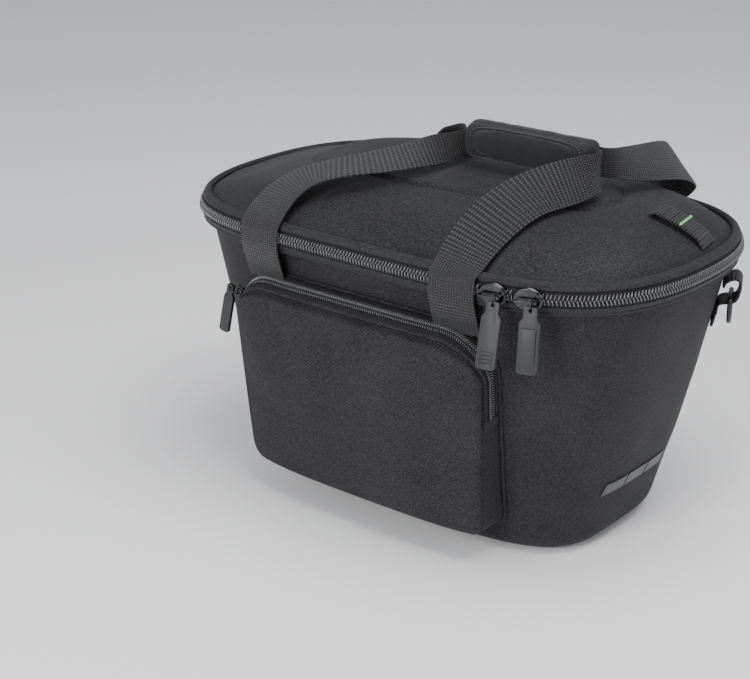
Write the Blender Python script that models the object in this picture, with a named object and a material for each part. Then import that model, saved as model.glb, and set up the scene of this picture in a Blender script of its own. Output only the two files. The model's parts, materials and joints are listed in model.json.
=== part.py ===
"""Shopper pannier: a tapered basket bag with a zipped lid, a front pocket and two webbing handles.

Metres, +Z up. +X is the end that faces the rear of the bicycle and -Y the side with the pocket.
The origin is the middle of the flat base, on the surface that the bag stands on.
"""
import math

import bmesh
import bpy
from mathutils import Vector

# Plan and height of the bag
RIM_LENGTH = 0.430
RIM_WIDTH = 0.2654
RIM_END_POWER = 4.58
RIM_SIDE_POWER = 2.38
BASE_LENGTH = 0.308
BASE_WIDTH = 0.1776
BASE_END_POWER = 3.3
BASE_SIDE_POWER = 3.98
BASE_EDGE_RADIUS = 0.015
BASE_THICKNESS = 0.004
ZIP_HEIGHT = 0.223
WALL = 0.0025
GAP = 0.0003
AROUND = 64

# Zip band round the rim
BAND_OVERHANG = 0.0045
BAND_DROP = 0.0115
COIL_HEIGHT = 0.0105
COIL_THICKNESS = 0.0028
TAPE_THICKNESS = 0.0025
TAPE_GAP = 0.0004
TAPE_FLARE = 0.0010
TAPE_TUCK = 0.0012
LOWER_TAPE_WIDTH = 0.0065
UPPER_TAPE_WIDTH = 0.0085
UPPER_TAPE_RISE = 0.0052

# Lid
LID_CROWN = 0.0295
LID_CROWN_POWER = 3.17
LID_REAR_RISE = 0.029
LID_RISE_FADE = 12
LID_EDGE_RISE = 0.0036
LID_THICKNESS = 0.003
PANEL_LENGTH = 0.256
PANEL_WIDTH = 0.100
PANEL_RISE = 0.0075
PANEL_SLOPE = 0.007
PANEL_POWER = 2.6

# Pocket on the near side
POCKET_TOP_WIDTH = 0.236
POCKET_BOTTOM_WIDTH = 0.2275
POCKET_BOTTOM_SHIFT = -0.006
POCKET_TOP = ZIP_HEIGHT - 0.043
POCKET_BOTTOM = 0.026
POCKET_DEPTH = 0.021
POCKET_WALL = 0.002
POCKET_FRONT_RADIUS = 0.005
POCKET_FOOT_DEPTH = 0.0345
POCKET_TOP_RADIUS_LEFT = 0.026
POCKET_TOP_RADIUS_RIGHT = 0.036
POCKET_BOTTOM_RADIUS = 0.014
POCKET_ZIP_WIDTH = 0.009
POCKET_ZIP_THICKNESS = 0.0016
POCKET_ZIP_LIFT = 0.0004
POCKET_ZIP_PLACE = 0.5
POCKET_ZIP_LEFT_DROP = 0.030
POCKET_ZIP_RIGHT_DROP = 0.062
POCKET_SLIDER_DROP = 0.018

# Handles and grip
WEBBING_WIDTH = 0.038
WEBBING_THICKNESS = 0.002
HANDLE_SPACING = 0.180
FAR_LEG_END = ZIP_HEIGHT - 0.113
GRIP_START = 0.008
GRIP_LENGTH = 0.109
GRIP_HEIGHT = 0.028
GRIP_DEPTH = 0.023
GRIP_WALL = 0.0025
GRIP_CENTRE_HEIGHT = ZIP_HEIGHT + LID_CROWN + 0.0345
HANDLE_LIE_HEIGHT = GRIP_CENTRE_HEIGHT - 0.002
GRIP_STATIONS = ((-0.02, 0.0020, 0.80), (0.04, 0.0006, 0.86), (0.3, 0.0, 1.0), (0.7, 0.0, 1.0),
                 (0.97, 0.0, 1.0), (1.02, 0.0, 1.0))
LEG_POCKET_CLEARANCE = 0.002
LEG_BEND_DROP = 0.008
LEG_BAND_RISES = (-0.010, 0.0, 0.0075)
BAND_HUG = ((0.0038, 0), (0.0042, 0), (0.0036, 0))
BAND_LEAVE = ((0.0044, 0), (0.0080, -6), (0.0125, -16))

# Zip sliders and pulls
SLIDER_LENGTH = 0.0225
SLIDER_WIDTH = 0.018
SLIDER_THICKNESS = 0.0026
HANDLE_SIDE = HANDLE_SPACING / 2 + WEBBING_WIDTH / 2
SLIDER_PLACES = (HANDLE_SIDE + 0.0135, HANDLE_SIDE + 0.0375)
SLIDER_END_POWER = 1.7
SLIDER_SIDE_POWER = 2.2
POCKET_SLIDER_LENGTH = 0.013
POCKET_SLIDER_WIDTH = 0.0105
BRIDGE_SHARE = 0.74
BRIDGE_HEIGHT = 0.0062
BRIDGE_BAR = 0.0016
BRIDGE_DEPTH = 0.0018
LINK_RADIUS = 0.0034
LINK_WIRE = 0.0013
PULL_LENGTH = 0.0445
PULL_WIDTH = 0.0145
PULL_NECK_WIDTH = 0.0095
PULL_NECK_LENGTH = 0.0055
PULL_THICKNESS = 0.0034
PULL_SHIFT = 0.22
PULL_LEANS = (math.radians(14), math.radians(8))
PULL_NECK_SLOPE = 0.0033
PULL_NECK_RISE = 0.0024
PULL_CORNER = 0.0015
POCKET_PULL_LENGTH = 0.040
POCKET_PULL_WIDTH = 0.0095
POCKET_PULL_LEAN = math.radians(13)
POCKET_LINK_RADIUS = 0.0044
POCKET_PULL_SHIFT = 0.15
POCKET_ZIP_SCALE = 0.8

# Shoulder strap rings
TAB_WIDTH = 0.024
TAB_THICKNESS = 0.0024
TAB_TOP = ZIP_HEIGHT - 0.025
TAB_BOTTOM = TAB_TOP - 0.038
TAB_LOOP_DEPTH = 0.0125
TAB_LOOP_DROP = 0.019
TAB_WALL_RADIUS = 0.080
TAB_TURN = math.radians(29)
RING_WIDTH = 0.034
RING_DROP = 0.020
RING_WIRE = 0.0042
RING_SLACK = 0.0008
RING_SHOULDER = 0.002

# Light loop on the lid and reflective strips on the rear end
LIGHT_LOOP_ALONG = RIM_LENGTH / 2 - 0.0325
LIGHT_LOOP_ACROSS = 0.017
LIGHT_LOOP_TURN = math.radians(7)
LIGHT_LOOP_LENGTH = 0.043
LIGHT_LOOP_WIDTH = 0.021
LIGHT_LOOP_THICKNESS = 0.0022
LIGHT_LOOP_RISE = 0.0030
LIGHT_LOOP_BEND = 0.12
LIGHT_LOOP_SEAT = 0.0009
STRIP_LENGTH = 0.026
STRIP_HEIGHT = 0.0115
STRIP_THICKNESS = 0.0005
STRIP_SLANT = 0.004
STRIP_BOTTOM = 0.0545
STRIP_PITCH = 0.0275


def clear_scene():
    for item in list(bpy.data.objects):
        bpy.data.objects.remove(item)


def finish(name, base_color, roughness, metallic=0.0):
    """A plain surface finish."""
    material = bpy.data.materials.new(name)
    material.use_nodes = True
    shader = material.node_tree.nodes["Principled BSDF"]
    shader.inputs["Base Color"].default_value = (*base_color, 1.0)
    shader.inputs["Roughness"].default_value = roughness
    shader.inputs["Metallic"].default_value = metallic
    return material


def add_object(name, bm, material, parent=None, sharp=35):
    """Makes an object of a closed bmesh, with its faces turned outwards."""
    bmesh.ops.recalc_face_normals(bm, faces=bm.faces)
    mesh = bpy.data.meshes.new(name)
    bm.to_mesh(mesh)
    bm.free()
    mesh.shade_smooth()
    mesh.set_sharp_from_angle(angle=math.radians(sharp))
    mesh.materials.append(material)
    item = bpy.data.objects.new(name, mesh)
    bpy.context.scene.collection.objects.link(item)
    item.parent = parent
    return item


def loft(name, sections, material, ring=False, parent=None):
    """Joins sections, each a closed loop of points, into one closed body.

    A ring joins the last section to the first; otherwise both ends are capped.
    """
    bm = bmesh.new()
    loops = [[bm.verts.new(point) for point in section] for section in sections]
    following = loops[1:] + loops[:1] if ring else loops[1:]
    for here, there in zip(loops, following):
        for corner in range(len(here)):
            before = corner - 1
            bm.faces.new((here[before], here[corner], there[corner], there[before]))
    if not ring:
        bm.faces.new(loops[0])
        bm.faces.new(loops[-1])
    return add_object(name, bm, material, parent)


def blend(start, end, share):
    return start + (end - start) * share


def signed_power(value, power):
    return math.copysign(abs(value) ** power, value)


def oval(turn, half_length, half_width, end_power, side_power):
    """A point on a rounded rectangle whose ends and sides have their own fullness."""
    return Vector((half_length * signed_power(math.cos(turn), 2 / end_power),
                   half_width * signed_power(math.sin(turn), 2 / side_power)))


def rim_oval(turn):
    return oval(turn, RIM_LENGTH / 2, RIM_WIDTH / 2, RIM_END_POWER, RIM_SIDE_POWER)


def outward(curve, turn):
    """The direction that points out of a closed curve, level with the ground."""
    step = 0.002
    along = curve(turn + step) - curve(turn - step)
    return Vector((along.y, -along.x)).normalized()


def even_turns(count):
    """Turns that divide the rim into stretches of equal length."""
    fine = 2880
    turns = [2 * math.pi * index / fine for index in range(fine + 1)]
    lengths = [0.0]
    for start, end in zip(turns, turns[1:]):
        lengths.append(lengths[-1] + (rim_oval(end) - rim_oval(start)).length)
    found = []
    index = 0
    for number in range(count):
        target = lengths[-1] * number / count
        while lengths[index + 1] < target:
            index += 1
        found.append(turns[index])
    return found


def wall_sizes(height):
    """Half length, half width and fullness of the bag's outer wall at a height."""
    share = height / ZIP_HEIGHT
    half_length = blend(BASE_LENGTH / 2, RIM_LENGTH / 2 - BAND_OVERHANG, share)
    half_width = blend(BASE_WIDTH / 2, RIM_WIDTH / 2 - BAND_OVERHANG, share)
    if height < BASE_EDGE_RADIUS:
        rise = BASE_EDGE_RADIUS - height
        inset = BASE_EDGE_RADIUS - math.sqrt(BASE_EDGE_RADIUS ** 2 - rise ** 2)
        half_length -= inset
        half_width -= inset
    return (half_length, half_width, blend(BASE_END_POWER, RIM_END_POWER, share),
            blend(BASE_SIDE_POWER, RIM_SIDE_POWER, share))


def wall_point(turn, height, outset=0.0):
    """A point on the bag's wall, or off it by an outset along the level normal."""
    sizes = wall_sizes(height)

    def curve(angle):
        return oval(angle, *sizes)
    place = curve(turn) + outward(curve, turn) * outset
    return Vector((place.x, place.y, height))


def wall_reach(along, height):
    """How far the long side's wall stands from the middle plane, at a place along the bag."""
    half_length, half_width, end_power, side_power = wall_sizes(height)
    fullness = 1 - min(abs(along) / half_length, 0.999) ** end_power
    return half_width * fullness ** (1 / side_power)


def rim_point(turn, outset, rise):
    """A point given by its distance out of and above the zip's middle line."""
    place = rim_oval(turn) + outward(rim_oval, turn) * outset
    return Vector((place.x, place.y, ZIP_HEIGHT + rise))


def rim_turn(along):
    """The turn of the near side's point at a place along the bag."""
    return -math.acos((along / (RIM_LENGTH / 2)) ** (RIM_END_POWER / 2))


def build_body(material):
    """The tapered tub: a flat base with a rounded edge and straight sloping walls."""
    turns = even_turns(AROUND)
    top = ZIP_HEIGHT - BAND_DROP
    edge_steps = [BASE_EDGE_RADIUS * (1 - math.cos(math.radians(angle))) for angle in (0, 30, 55, 90)]
    wall_steps = [blend(BASE_EDGE_RADIUS, top, share) for share in (0.2, 0.4, 0.6, 0.8, 1.0)]
    sections = [[wall_point(turn, height) for turn in turns] for height in edge_steps + wall_steps]
    for height in reversed([BASE_EDGE_RADIUS] + wall_steps):
        sections.append([wall_point(turn, height, -WALL) for turn in turns])
    floor = [wall_point(turn, 0.0) for turn in turns]
    for point in floor:
        point.z = BASE_THICKNESS
    sections.append(floor)
    return loft("bag_body", sections, material)


def build_band(name, profile, material):
    """A strip that runs right round the rim, from its profile of outsets and rises."""
    sections = [[rim_point(turn, outset, rise) for outset, rise in profile] for turn in even_turns(AROUND)]
    return loft(name, sections, material, ring=True)


def tape_profiles():
    """Outsets and rises of the lower tape, the coil and the upper tape."""
    half = COIL_HEIGHT / 2
    low = -half - TAPE_GAP
    high = half + TAPE_GAP
    seat = -BAND_DROP + GAP
    inner = -BAND_OVERHANG - WALL
    lip = TAPE_THICKNESS * 0.8
    lower = [(inner, seat), (inner + WALL, seat), (inner + WALL + lip, seat - lip),
             (TAPE_FLARE * 0.4, low - LOWER_TAPE_WIDTH * 0.7), (TAPE_FLARE, low),
             (TAPE_FLARE - TAPE_THICKNESS, low), (-TAPE_THICKNESS, low - LOWER_TAPE_WIDTH * 0.6)]
    coil = [(TAPE_FLARE, -half), (TAPE_FLARE + COIL_THICKNESS * 0.35, -half * 0.3),
            (TAPE_FLARE * 0.6, half * 0.55), (-TAPE_FLARE, half), (-TAPE_FLARE - COIL_THICKNESS, half),
            (-COIL_THICKNESS * 0.9, half * 0.3), (TAPE_FLARE - COIL_THICKNESS, -half)]
    inset = -TAPE_TUCK - UPPER_TAPE_WIDTH * 0.82
    rise = UPPER_TAPE_RISE
    upper = [(-TAPE_TUCK, high), (-TAPE_TUCK - rise * 0.27, high + rise * 0.5),
             (-TAPE_TUCK - rise * 0.85, high + rise * 0.88), (inset, high + rise),
             (inset, high + rise - TAPE_THICKNESS),
             (-TAPE_TUCK - rise * 0.96, high + rise * 0.88 - TAPE_THICKNESS),
             (-TAPE_TUCK - TAPE_THICKNESS, high)]
    return lower, coil, upper


def lid_edge_inset():
    """How far the lid's sewn edge lies inside the zip's middle line."""
    return TAPE_TUCK + UPPER_TAPE_WIDTH * 0.82 + TAPE_GAP


def crown_height(along, across):
    """Height of the lid's crown, without its raised panel: higher to the rear, but level at the rim."""
    edge = lid_edge_inset()
    u = abs(along) / (RIM_LENGTH / 2 - edge)
    v = abs(across) / (RIM_WIDTH / 2 - edge)
    reach = min((u ** 3 + v ** 3) ** (1 / 3), 1.0)
    foot = ZIP_HEIGHT + COIL_HEIGHT / 2 + TAPE_GAP + LID_EDGE_RISE
    tilt = LID_REAR_RISE * along * (1 - reach ** LID_RISE_FADE)
    return foot + LID_CROWN * (1 - reach ** LID_CROWN_POWER) + tilt


def lid_height(along, across):
    """Height of the lid's top, with its raised panel."""
    reach = (abs(along / (PANEL_LENGTH / 2)) ** PANEL_POWER
             + abs(across / (PANEL_WIDTH / 2)) ** PANEL_POWER) ** (1 / PANEL_POWER)
    slope = PANEL_SLOPE / (PANEL_WIDTH / 2)
    share = min(max((1 + slope - reach) / slope, 0.0), 1.0)
    return crown_height(along, across) + PANEL_RISE * share


def build_lid(material):
    """The crowned lid, open underneath, with a long oval panel that stands up from it."""
    turns = even_turns(AROUND)
    edge = lid_edge_inset()

    def panel_oval(turn, extra=0.0):
        return oval(turn, PANEL_LENGTH / 2 + extra, PANEL_WIDTH / 2 + extra, PANEL_POWER, PANEL_POWER)

    def between(turn, share, inset):
        rim = rim_oval(turn) - outward(rim_oval, turn) * (edge + inset)
        return blend(rim, panel_oval(turn, PANEL_SLOPE), share)

    top = []
    for share in (0.3, 0.7, 0.95):
        top.append([panel_oval(turn) * share for turn in turns])
    top.append([panel_oval(turn, PANEL_SLOPE) for turn in turns])
    for share in (0.7, 0.4, 0.15, 0.0):
        top.append([between(turn, share, 0.0) for turn in turns])
    under = []
    for share in (0.0, 0.2, 0.6, 1.0):
        under.append([between(turn, share, LID_THICKNESS) for turn in turns])
    under.append([panel_oval(turn) * 0.4 for turn in turns])

    sections = [[Vector((p.x, p.y, lid_height(p.x, p.y))) for p in row] for row in top]
    sections.append([Vector((p.x, p.y, crown_height(p.x, p.y) - LID_THICKNESS)) for p in top[-1]])
    for row in under:
        sections.append([Vector((p.x, p.y, crown_height(p.x, p.y) - LID_THICKNESS)) for p in row])
    return loft("lid", sections, material)


def rounded_outline(corners, steps):
    """A closed outline through (along, height, radius) corners, each an arc, with divided runs."""
    arcs = []
    count = len(corners)
    for index in range(count):
        before, here, after = (Vector(corners[(index + turn) % count][:2]) for turn in (-1, 0, 1))
        radius = corners[index][2]
        back = (before - here).normalized()
        ahead = (after - here).normalized()
        half_angle = back.angle(ahead) / 2
        middle = here + (back + ahead).normalized() * radius / math.sin(half_angle)
        start = here + back * radius / math.tan(half_angle)
        end = here + ahead * radius / math.tan(half_angle)
        sweep = (start - middle).angle_signed(end - middle)
        arc = []
        for step in range(5):
            angle = -sweep * step / 4
            arm = start - middle
            arc.append(middle + Vector((arm.x * math.cos(angle) - arm.y * math.sin(angle),
                                        arm.x * math.sin(angle) + arm.y * math.cos(angle))))
        arcs.append(arc)
    outline = []
    for index, arc in enumerate(arcs):
        outline += arc
        following = arcs[(index + 1) % count][0]
        runs = steps[index]
        outline += [blend(arc[-1], following, step / runs) for step in range(1, runs)]
    return outline


def pocket_outline():
    """The pocket's edge as seen from the near side: up the right side and back down the left."""
    bottom = POCKET_BOTTOM_WIDTH / 2
    top = POCKET_TOP_WIDTH / 2
    corners = [(POCKET_BOTTOM_SHIFT - bottom, POCKET_BOTTOM, POCKET_BOTTOM_RADIUS),
               (POCKET_BOTTOM_SHIFT + bottom, POCKET_BOTTOM, POCKET_BOTTOM_RADIUS),
               (top, POCKET_TOP, POCKET_TOP_RADIUS_RIGHT),
               (-top, POCKET_TOP, POCKET_TOP_RADIUS_LEFT)]
    return rounded_outline(corners, (7, 6, 7, 6))


def pocket_depth(height):
    """How far the pocket's face stands off the wall: more near the base, where the wall draws back."""
    return blend(POCKET_FOOT_DEPTH, POCKET_DEPTH, height / POCKET_TOP)


def pocket_point(place, scale, off_wall, depth_share=0.0):
    """A point of the pocket: its outline scaled about its middle, and set off the bag's wall."""
    middle = (POCKET_TOP + POCKET_BOTTOM) / 2
    along = place.x * scale[0]
    height = middle + (place.y - middle) * scale[1]
    reach = wall_reach(along, height) + off_wall + pocket_depth(height) * depth_share
    return Vector((along, -reach, height))


def pocket_scale(inset):
    """Scales that pull the pocket's outline in by an inset on every side."""
    half_height = (POCKET_TOP - POCKET_BOTTOM) / 2
    return (1 - inset / (POCKET_TOP_WIDTH / 2), 1 - inset / half_height)


def build_pocket(material):
    """The pocket: a shallow tray of fabric, open to the wall that it is sewn to."""
    outline = pocket_outline()
    round_share = POCKET_FRONT_RADIUS / POCKET_DEPTH
    outer = [((0.3, 0.3), GAP, 1.04), ((0.75, 0.75), GAP, 1.03),
             (pocket_scale(POCKET_FRONT_RADIUS), GAP, 1.0),
             (pocket_scale(POCKET_FRONT_RADIUS * 0.3), GAP, 1.0 - round_share * 0.3),
             ((1.0, 1.0), GAP, 1.0 - round_share), ((1.0, 1.0), GAP * 2, 0.0)]
    inside = pocket_scale(POCKET_WALL)
    deep = pocket_scale(POCKET_WALL + POCKET_FRONT_RADIUS)
    inner = [(inside, GAP * 2, 0.0), (inside, GAP, 1.0 - round_share - POCKET_WALL / POCKET_DEPTH),
             (deep, GAP - POCKET_WALL, 1.0), ((0.7, 0.7), GAP - POCKET_WALL, 1.02),
             ((0.3, 0.3), GAP - POCKET_WALL, 1.03)]
    sections = [[pocket_point(place, *row) for place in outline] for row in outer + inner]
    return loft("pocket", sections, material)


def pocket_zip_route():
    """Places on the pocket's edge with their outward directions, from the left end to the right end."""
    outline = pocket_outline()
    ends = (POCKET_TOP - POCKET_ZIP_LEFT_DROP, POCKET_TOP - POCKET_ZIP_RIGHT_DROP)
    places = [place for place in reversed(outline) if place.y > ends[place.x > 0]]
    narrowing = (POCKET_TOP_WIDTH - POCKET_BOTTOM_WIDTH) / 2
    left_slope = (narrowing + POCKET_BOTTOM_SHIFT) / (POCKET_TOP - POCKET_BOTTOM)
    right_slope = (narrowing - POCKET_BOTTOM_SHIFT) / (POCKET_TOP - POCKET_BOTTOM)
    left = Vector((-POCKET_TOP_WIDTH / 2 + left_slope * POCKET_ZIP_LEFT_DROP, ends[0]))
    right = Vector((POCKET_TOP_WIDTH / 2 - right_slope * POCKET_ZIP_RIGHT_DROP, ends[1]))
    places = [left] + places + [right]
    route = []
    for index, here in enumerate(places):
        along = (places[min(index + 1, len(places) - 1)] - places[max(index - 1, 0)]).normalized()
        route.append((here, Vector((-along.y, along.x))))
    return route


def build_pocket_zip(material):
    """The pocket's zip, a strip on its edge from the left corner over the top and down the right."""
    half = POCKET_ZIP_WIDTH / 2
    sections = []
    for place, normal in pocket_zip_route():
        reach = wall_reach(place.x, place.y) + pocket_depth(place.y) * POCKET_ZIP_PLACE
        corners = []
        for across, rise in ((-half, POCKET_ZIP_LIFT), (half, POCKET_ZIP_LIFT),
                             (half, POCKET_ZIP_LIFT + POCKET_ZIP_THICKNESS),
                             (-half, POCKET_ZIP_LIFT + POCKET_ZIP_THICKNESS)):
            spot = place + normal * rise
            corners.append(Vector((spot.x, -(reach + across), spot.y)))
        sections.append(corners)
    return loft("pocket_zip", sections, material)


def smooth_rows(rows, steps):
    """Points on a smooth curve through rows of numbers, with so many steps from row to row."""
    result = []
    for index in range(len(rows) - 1):
        before = rows[max(index - 1, 0)]
        here = rows[index]
        there = rows[index + 1]
        after = rows[min(index + 2, len(rows) - 1)]
        for step in range(steps):
            t = step / steps
            result.append([0.5 * (2 * b + (c - a) * t + (2 * a - 5 * b + 4 * c - d) * t ** 2
                                  + (3 * b - a - 3 * c + d) * t ** 3)
                           for a, b, c, d in zip(before, here, there, after)])
    result.append(list(rows[-1]))
    return result


# How a handle lies between its leg and the grip. Columns: place along the bag as a share of the way
# from the leg (0) to the grip's end (1); distance across as a share from the rim (1) to the grip (0);
# height as a share from the zip (0) to the lying height (1); turn and lean of the webbing's width in
# degrees; and the webbing's width as a share, since it is folded inside the grip.
NEAR_LEFT = [
    (-0.03, 0.975, 0.20, 0, 0, 1.0),
    (-0.04, 0.900, 0.31, 0, 0, 1.0),
    (-0.02, 0.810, 0.45, -6, 0, 1.0),
    (0.07, 0.720, 0.58, -18, 0, 1.0),
    (0.21, 0.630, 0.67, -30, -2, 1.0),
    (0.40, 0.520, 0.75, -40, -6, 1.0),
    (0.57, 0.400, 0.80, -45, -12, 1.0),
    (0.71, 0.290, 0.855, -48, -20, 0.88),
    (0.82, 0.180, 0.90, -55, -42, 0.68),
    (0.88, 0.090, 0.93, -72, -70, 0.53),
    (0.935, 0.036, 0.970, -86, -88, 0.46),
]
NEAR_RIGHT = [
    (0.02, 0.965, 0.20, 0, -8, 1.0),
    (0.07, 0.880, 0.37, 0, -18, 1.0),
    (0.18, 0.750, 0.57, -2, -28, 1.0),
    (0.28, 0.560, 0.72, -10, -30, 1.0),
    (0.46, 0.400, 0.80, -14, -34, 1.0),
    (0.80, 0.275, 0.86, -14, -44, 0.95),
    (1.16, 0.180, 0.92, -20, -58, 0.85),
    (1.36, 0.110, 0.97, -40, -74, 0.75),
    (1.36, 0.055, 1.00, -70, -84, 0.65),
    (1.20, 0.024, 1.03, -88, -90, 0.59),
]
FAR_LEFT = [
    (0.00, 0.975, 0.19, 0, 0, 1.0),
    (0.05, 0.860, 0.33, 8, -4, 1.0),
    (0.18, 0.700, 0.49, 25, -10, 1.0),
    (0.37, 0.540, 0.64, 38, -14, 1.0),
    (0.56, 0.390, 0.78, 46, -20, 1.0),
    (0.72, 0.270, 0.87, 52, -30, 0.85),
    (0.83, 0.160, 0.92, 62, -52, 0.66),
    (0.88, 0.080, 0.94, 76, -74, 0.53),
    (0.935, 0.036, 0.97, 86, -88, 0.46),
]
FAR_RIGHT = [
    (0.34, 1.120, 0.22, 0, -24, 1.0),
    (0.69, 1.110, 0.40, -4, -38, 1.0),
    (1.03, 0.930, 0.61, -10, -46, 0.94),
    (1.29, 0.680, 0.755, 0, -52, 0.88),
    (1.42, 0.420, 0.855, 16, -58, 0.78),
    (1.46, 0.230, 0.935, 30, -68, 0.68),
    (1.40, 0.110, 0.99, 60, -80, 0.60),
    (1.20, 0.036, 1.015, 88, -90, 0.57),
]


def webbing(name, rows, material):
    """A flat band through rows of place, turn and lean of its width, and width."""
    rows = smooth_rows(rows, 3)
    places = [Vector(row[:3]) for row in rows]
    sections = []
    for index, row in enumerate(rows):
        along = (places[min(index + 1, len(rows) - 1)] - places[max(index - 1, 0)]).normalized()
        turn = math.radians(row[3])
        lean = math.radians(row[4])
        width = Vector((math.cos(turn) * math.cos(lean), math.sin(turn) * math.cos(lean), math.sin(lean)))
        width = (width - along * width.dot(along)).normalized()
        normal = along.cross(width)
        half_width = width * (WEBBING_WIDTH / 2 * row[5])
        half_thickness = normal * (WEBBING_THICKNESS / 2)
        here = places[index]
        sections.append([here - half_width - half_thickness, here + half_width - half_thickness,
                         here + half_width + half_thickness, here - half_width + half_thickness])
    return loft(name, sections, material)


def handle_leg(side, end, foot, leave):
    """Rows up the wall and over the zip band, from the foot of a leg.

    The last pairs say how far the webbing stands off the band as it leaves it, and how it leans.
    """
    along = HANDLE_SPACING / 2 * end
    inner = along - WEBBING_WIDTH / 2 * end
    outer = along + WEBBING_WIDTH / 2 * end
    half = WEBBING_THICKNESS / 2
    rows = []
    below = ZIP_HEIGHT - BAND_DROP - LEG_BEND_DROP
    for height in (foot, blend(foot, below, 0.7)):
        fall = wall_reach(inner, height) - wall_reach(outer, height)
        turn = -side * end * math.degrees(math.atan2(fall, WEBBING_WIDTH))
        reach = wall_reach(along, height) + GAP * 3 + half
        rows.append((along, side * reach, height, turn, 0, 1.0))
    rim = wall_reach(along, ZIP_HEIGHT) + BAND_OVERHANG
    fall = wall_reach(inner, ZIP_HEIGHT) - wall_reach(outer, ZIP_HEIGHT)
    turn = -side * end * math.degrees(math.atan2(fall, WEBBING_WIDTH))
    for rise, (outset, lean) in zip(LEG_BAND_RISES, leave):
        rows.append((along, side * (rim + outset), ZIP_HEIGHT + rise, turn, lean, 1.0))
    return rows


def handle_lie(side, end, table):
    """Rows of a handle's stretch over the lid, from its table of shares."""
    leg = HANDLE_SPACING / 2 * end
    grip_end = GRIP_START if end < 0 else GRIP_START + GRIP_LENGTH
    rows = []
    for along, across, rise, turn, lean, width in table:
        rows.append((blend(leg, grip_end, along), side * across * RIM_WIDTH / 2,
                     blend(ZIP_HEIGHT, HANDLE_LIE_HEIGHT, rise), turn, lean, width))
    return rows


def grip_rows(side):
    """Rows through the grip, where the folded webbing stands on edge beside its twin."""
    across = side * (WEBBING_THICKNESS / 2 + GAP * 3)
    width = (GRIP_HEIGHT - 2 * GRIP_WALL - 4 * GAP) / WEBBING_WIDTH
    rows = []
    for share, drop, fold in GRIP_STATIONS:
        rows.append((GRIP_START + GRIP_LENGTH * share, across, GRIP_CENTRE_HEIGHT - drop, side * 90, -90,
                     width * fold))
    return rows


def build_handles(material):
    near_foot = POCKET_TOP + POCKET_ZIP_LIFT + POCKET_ZIP_THICKNESS + LEG_POCKET_CLEARANCE
    near = (handle_leg(-1, -1, near_foot, BAND_HUG) + handle_lie(-1, -1, NEAR_LEFT) + grip_rows(-1)
            + list(reversed(handle_lie(-1, 1, NEAR_RIGHT)))
            + list(reversed(handle_leg(-1, 1, near_foot, BAND_HUG))))
    far = (handle_leg(1, -1, FAR_LEG_END, BAND_HUG) + handle_lie(1, -1, FAR_LEFT) + grip_rows(1)
           + list(reversed(handle_lie(1, 1, FAR_RIGHT)))
           + list(reversed(handle_leg(1, 1, FAR_LEG_END, BAND_LEAVE))))
    webbing("handle_near", near, material)
    webbing("handle_far", far, material)


def rounded_section(half_depth, half_height, corner, count):
    """A rounded rectangle across the grip, as (across, rise) pairs."""
    points = []
    for index in range(count):
        place = oval(2 * math.pi * (index + 0.5) / count, half_depth, half_height, corner, corner)
        points.append((place.x, place.y))
    return points


def build_grip(material):
    """The padded sleeve wrapped round both handles, open at its two ends."""
    outer = rounded_section(GRIP_DEPTH / 2, GRIP_HEIGHT / 2, 3.0, 20)
    slot_depth = WEBBING_THICKNESS + 6 * GAP
    slot = rounded_section(slot_depth, GRIP_HEIGHT / 2 - GRIP_WALL, 60.0, 20)
    columns = ((0.0, 0.86), (0.05, 0.97), (0.3, 1.0), (0.7, 1.0), (0.95, 0.97), (1.0, 0.86))
    sections = []
    for share, size in columns:
        sections.append([Vector((GRIP_START + GRIP_LENGTH * share, across * size,
                                 GRIP_CENTRE_HEIGHT + rise * size)) for across, rise in outer])
    for share in (1.0, 0.0):
        sections.append([Vector((GRIP_START + GRIP_LENGTH * share, across, GRIP_CENTRE_HEIGHT + rise))
                         for across, rise in slot])
    return loft("grip", sections, material, ring=True)


def plate(name, outline, hole, frame, thickness, material, parent=None):
    """A flat plate with a hole, in a frame of origin, along, up and out."""
    origin, along, up, out = frame
    sections = []
    for shape, off in ((outline, 0.0), (hole, 0.0), (hole, thickness), (outline, thickness)):
        sections.append([origin + along * x + up * y + out * off for x, y in shape])
    return loft(name, sections, material, ring=True, parent=parent)


def leaf(length, width, count):
    """A pointed oval, as a slider's cover plate."""
    points = []
    for index in range(count):
        turn = 2 * math.pi * index / count
        place = oval(turn, length / 2, width / 2, SLIDER_END_POWER, SLIDER_SIDE_POWER)
        points.append((place.x, place.y))
    return points


def rectangle(length, height, low, count):
    """A rectangle on a base line, with its corners kept, divided round its middle."""
    points = []
    for index in range(count):
        place = oval(2 * math.pi * (index + 0.5) / count, length / 2, height / 2, 9.0, 9.0)
        points.append((place.x, low + height / 2 + place.y))
    return points


def build_slider(name, frame, length, width, scale, material):
    """A slider: a leaf-shaped cover plate with a bridge that stands on it and holds the pull."""
    origin, along, up, out = frame
    corners = 16
    sections = []
    for size, off in ((0.86, 0.0), (1.0, SLIDER_THICKNESS * 0.4), (0.86, SLIDER_THICKNESS)):
        sections.append([origin + along * x * size + up * y * size + out * off
                         for x, y in leaf(length, width, corners)])
    loft(name, sections, material)
    foot = origin + out * (SLIDER_THICKNESS + GAP) - up * (BRIDGE_DEPTH * scale / 2)
    sill = BRIDGE_BAR * 0.7 * scale
    outline = rectangle(length * BRIDGE_SHARE, BRIDGE_HEIGHT * scale, 0.0, corners)
    opening = (length * BRIDGE_SHARE - 2 * BRIDGE_BAR, (BRIDGE_HEIGHT - BRIDGE_BAR) * scale - sill)
    hole = rectangle(*opening, sill, corners)
    plate(name + "_bridge", outline, hole, (foot, along, out, up), BRIDGE_DEPTH * scale, material)


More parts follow.
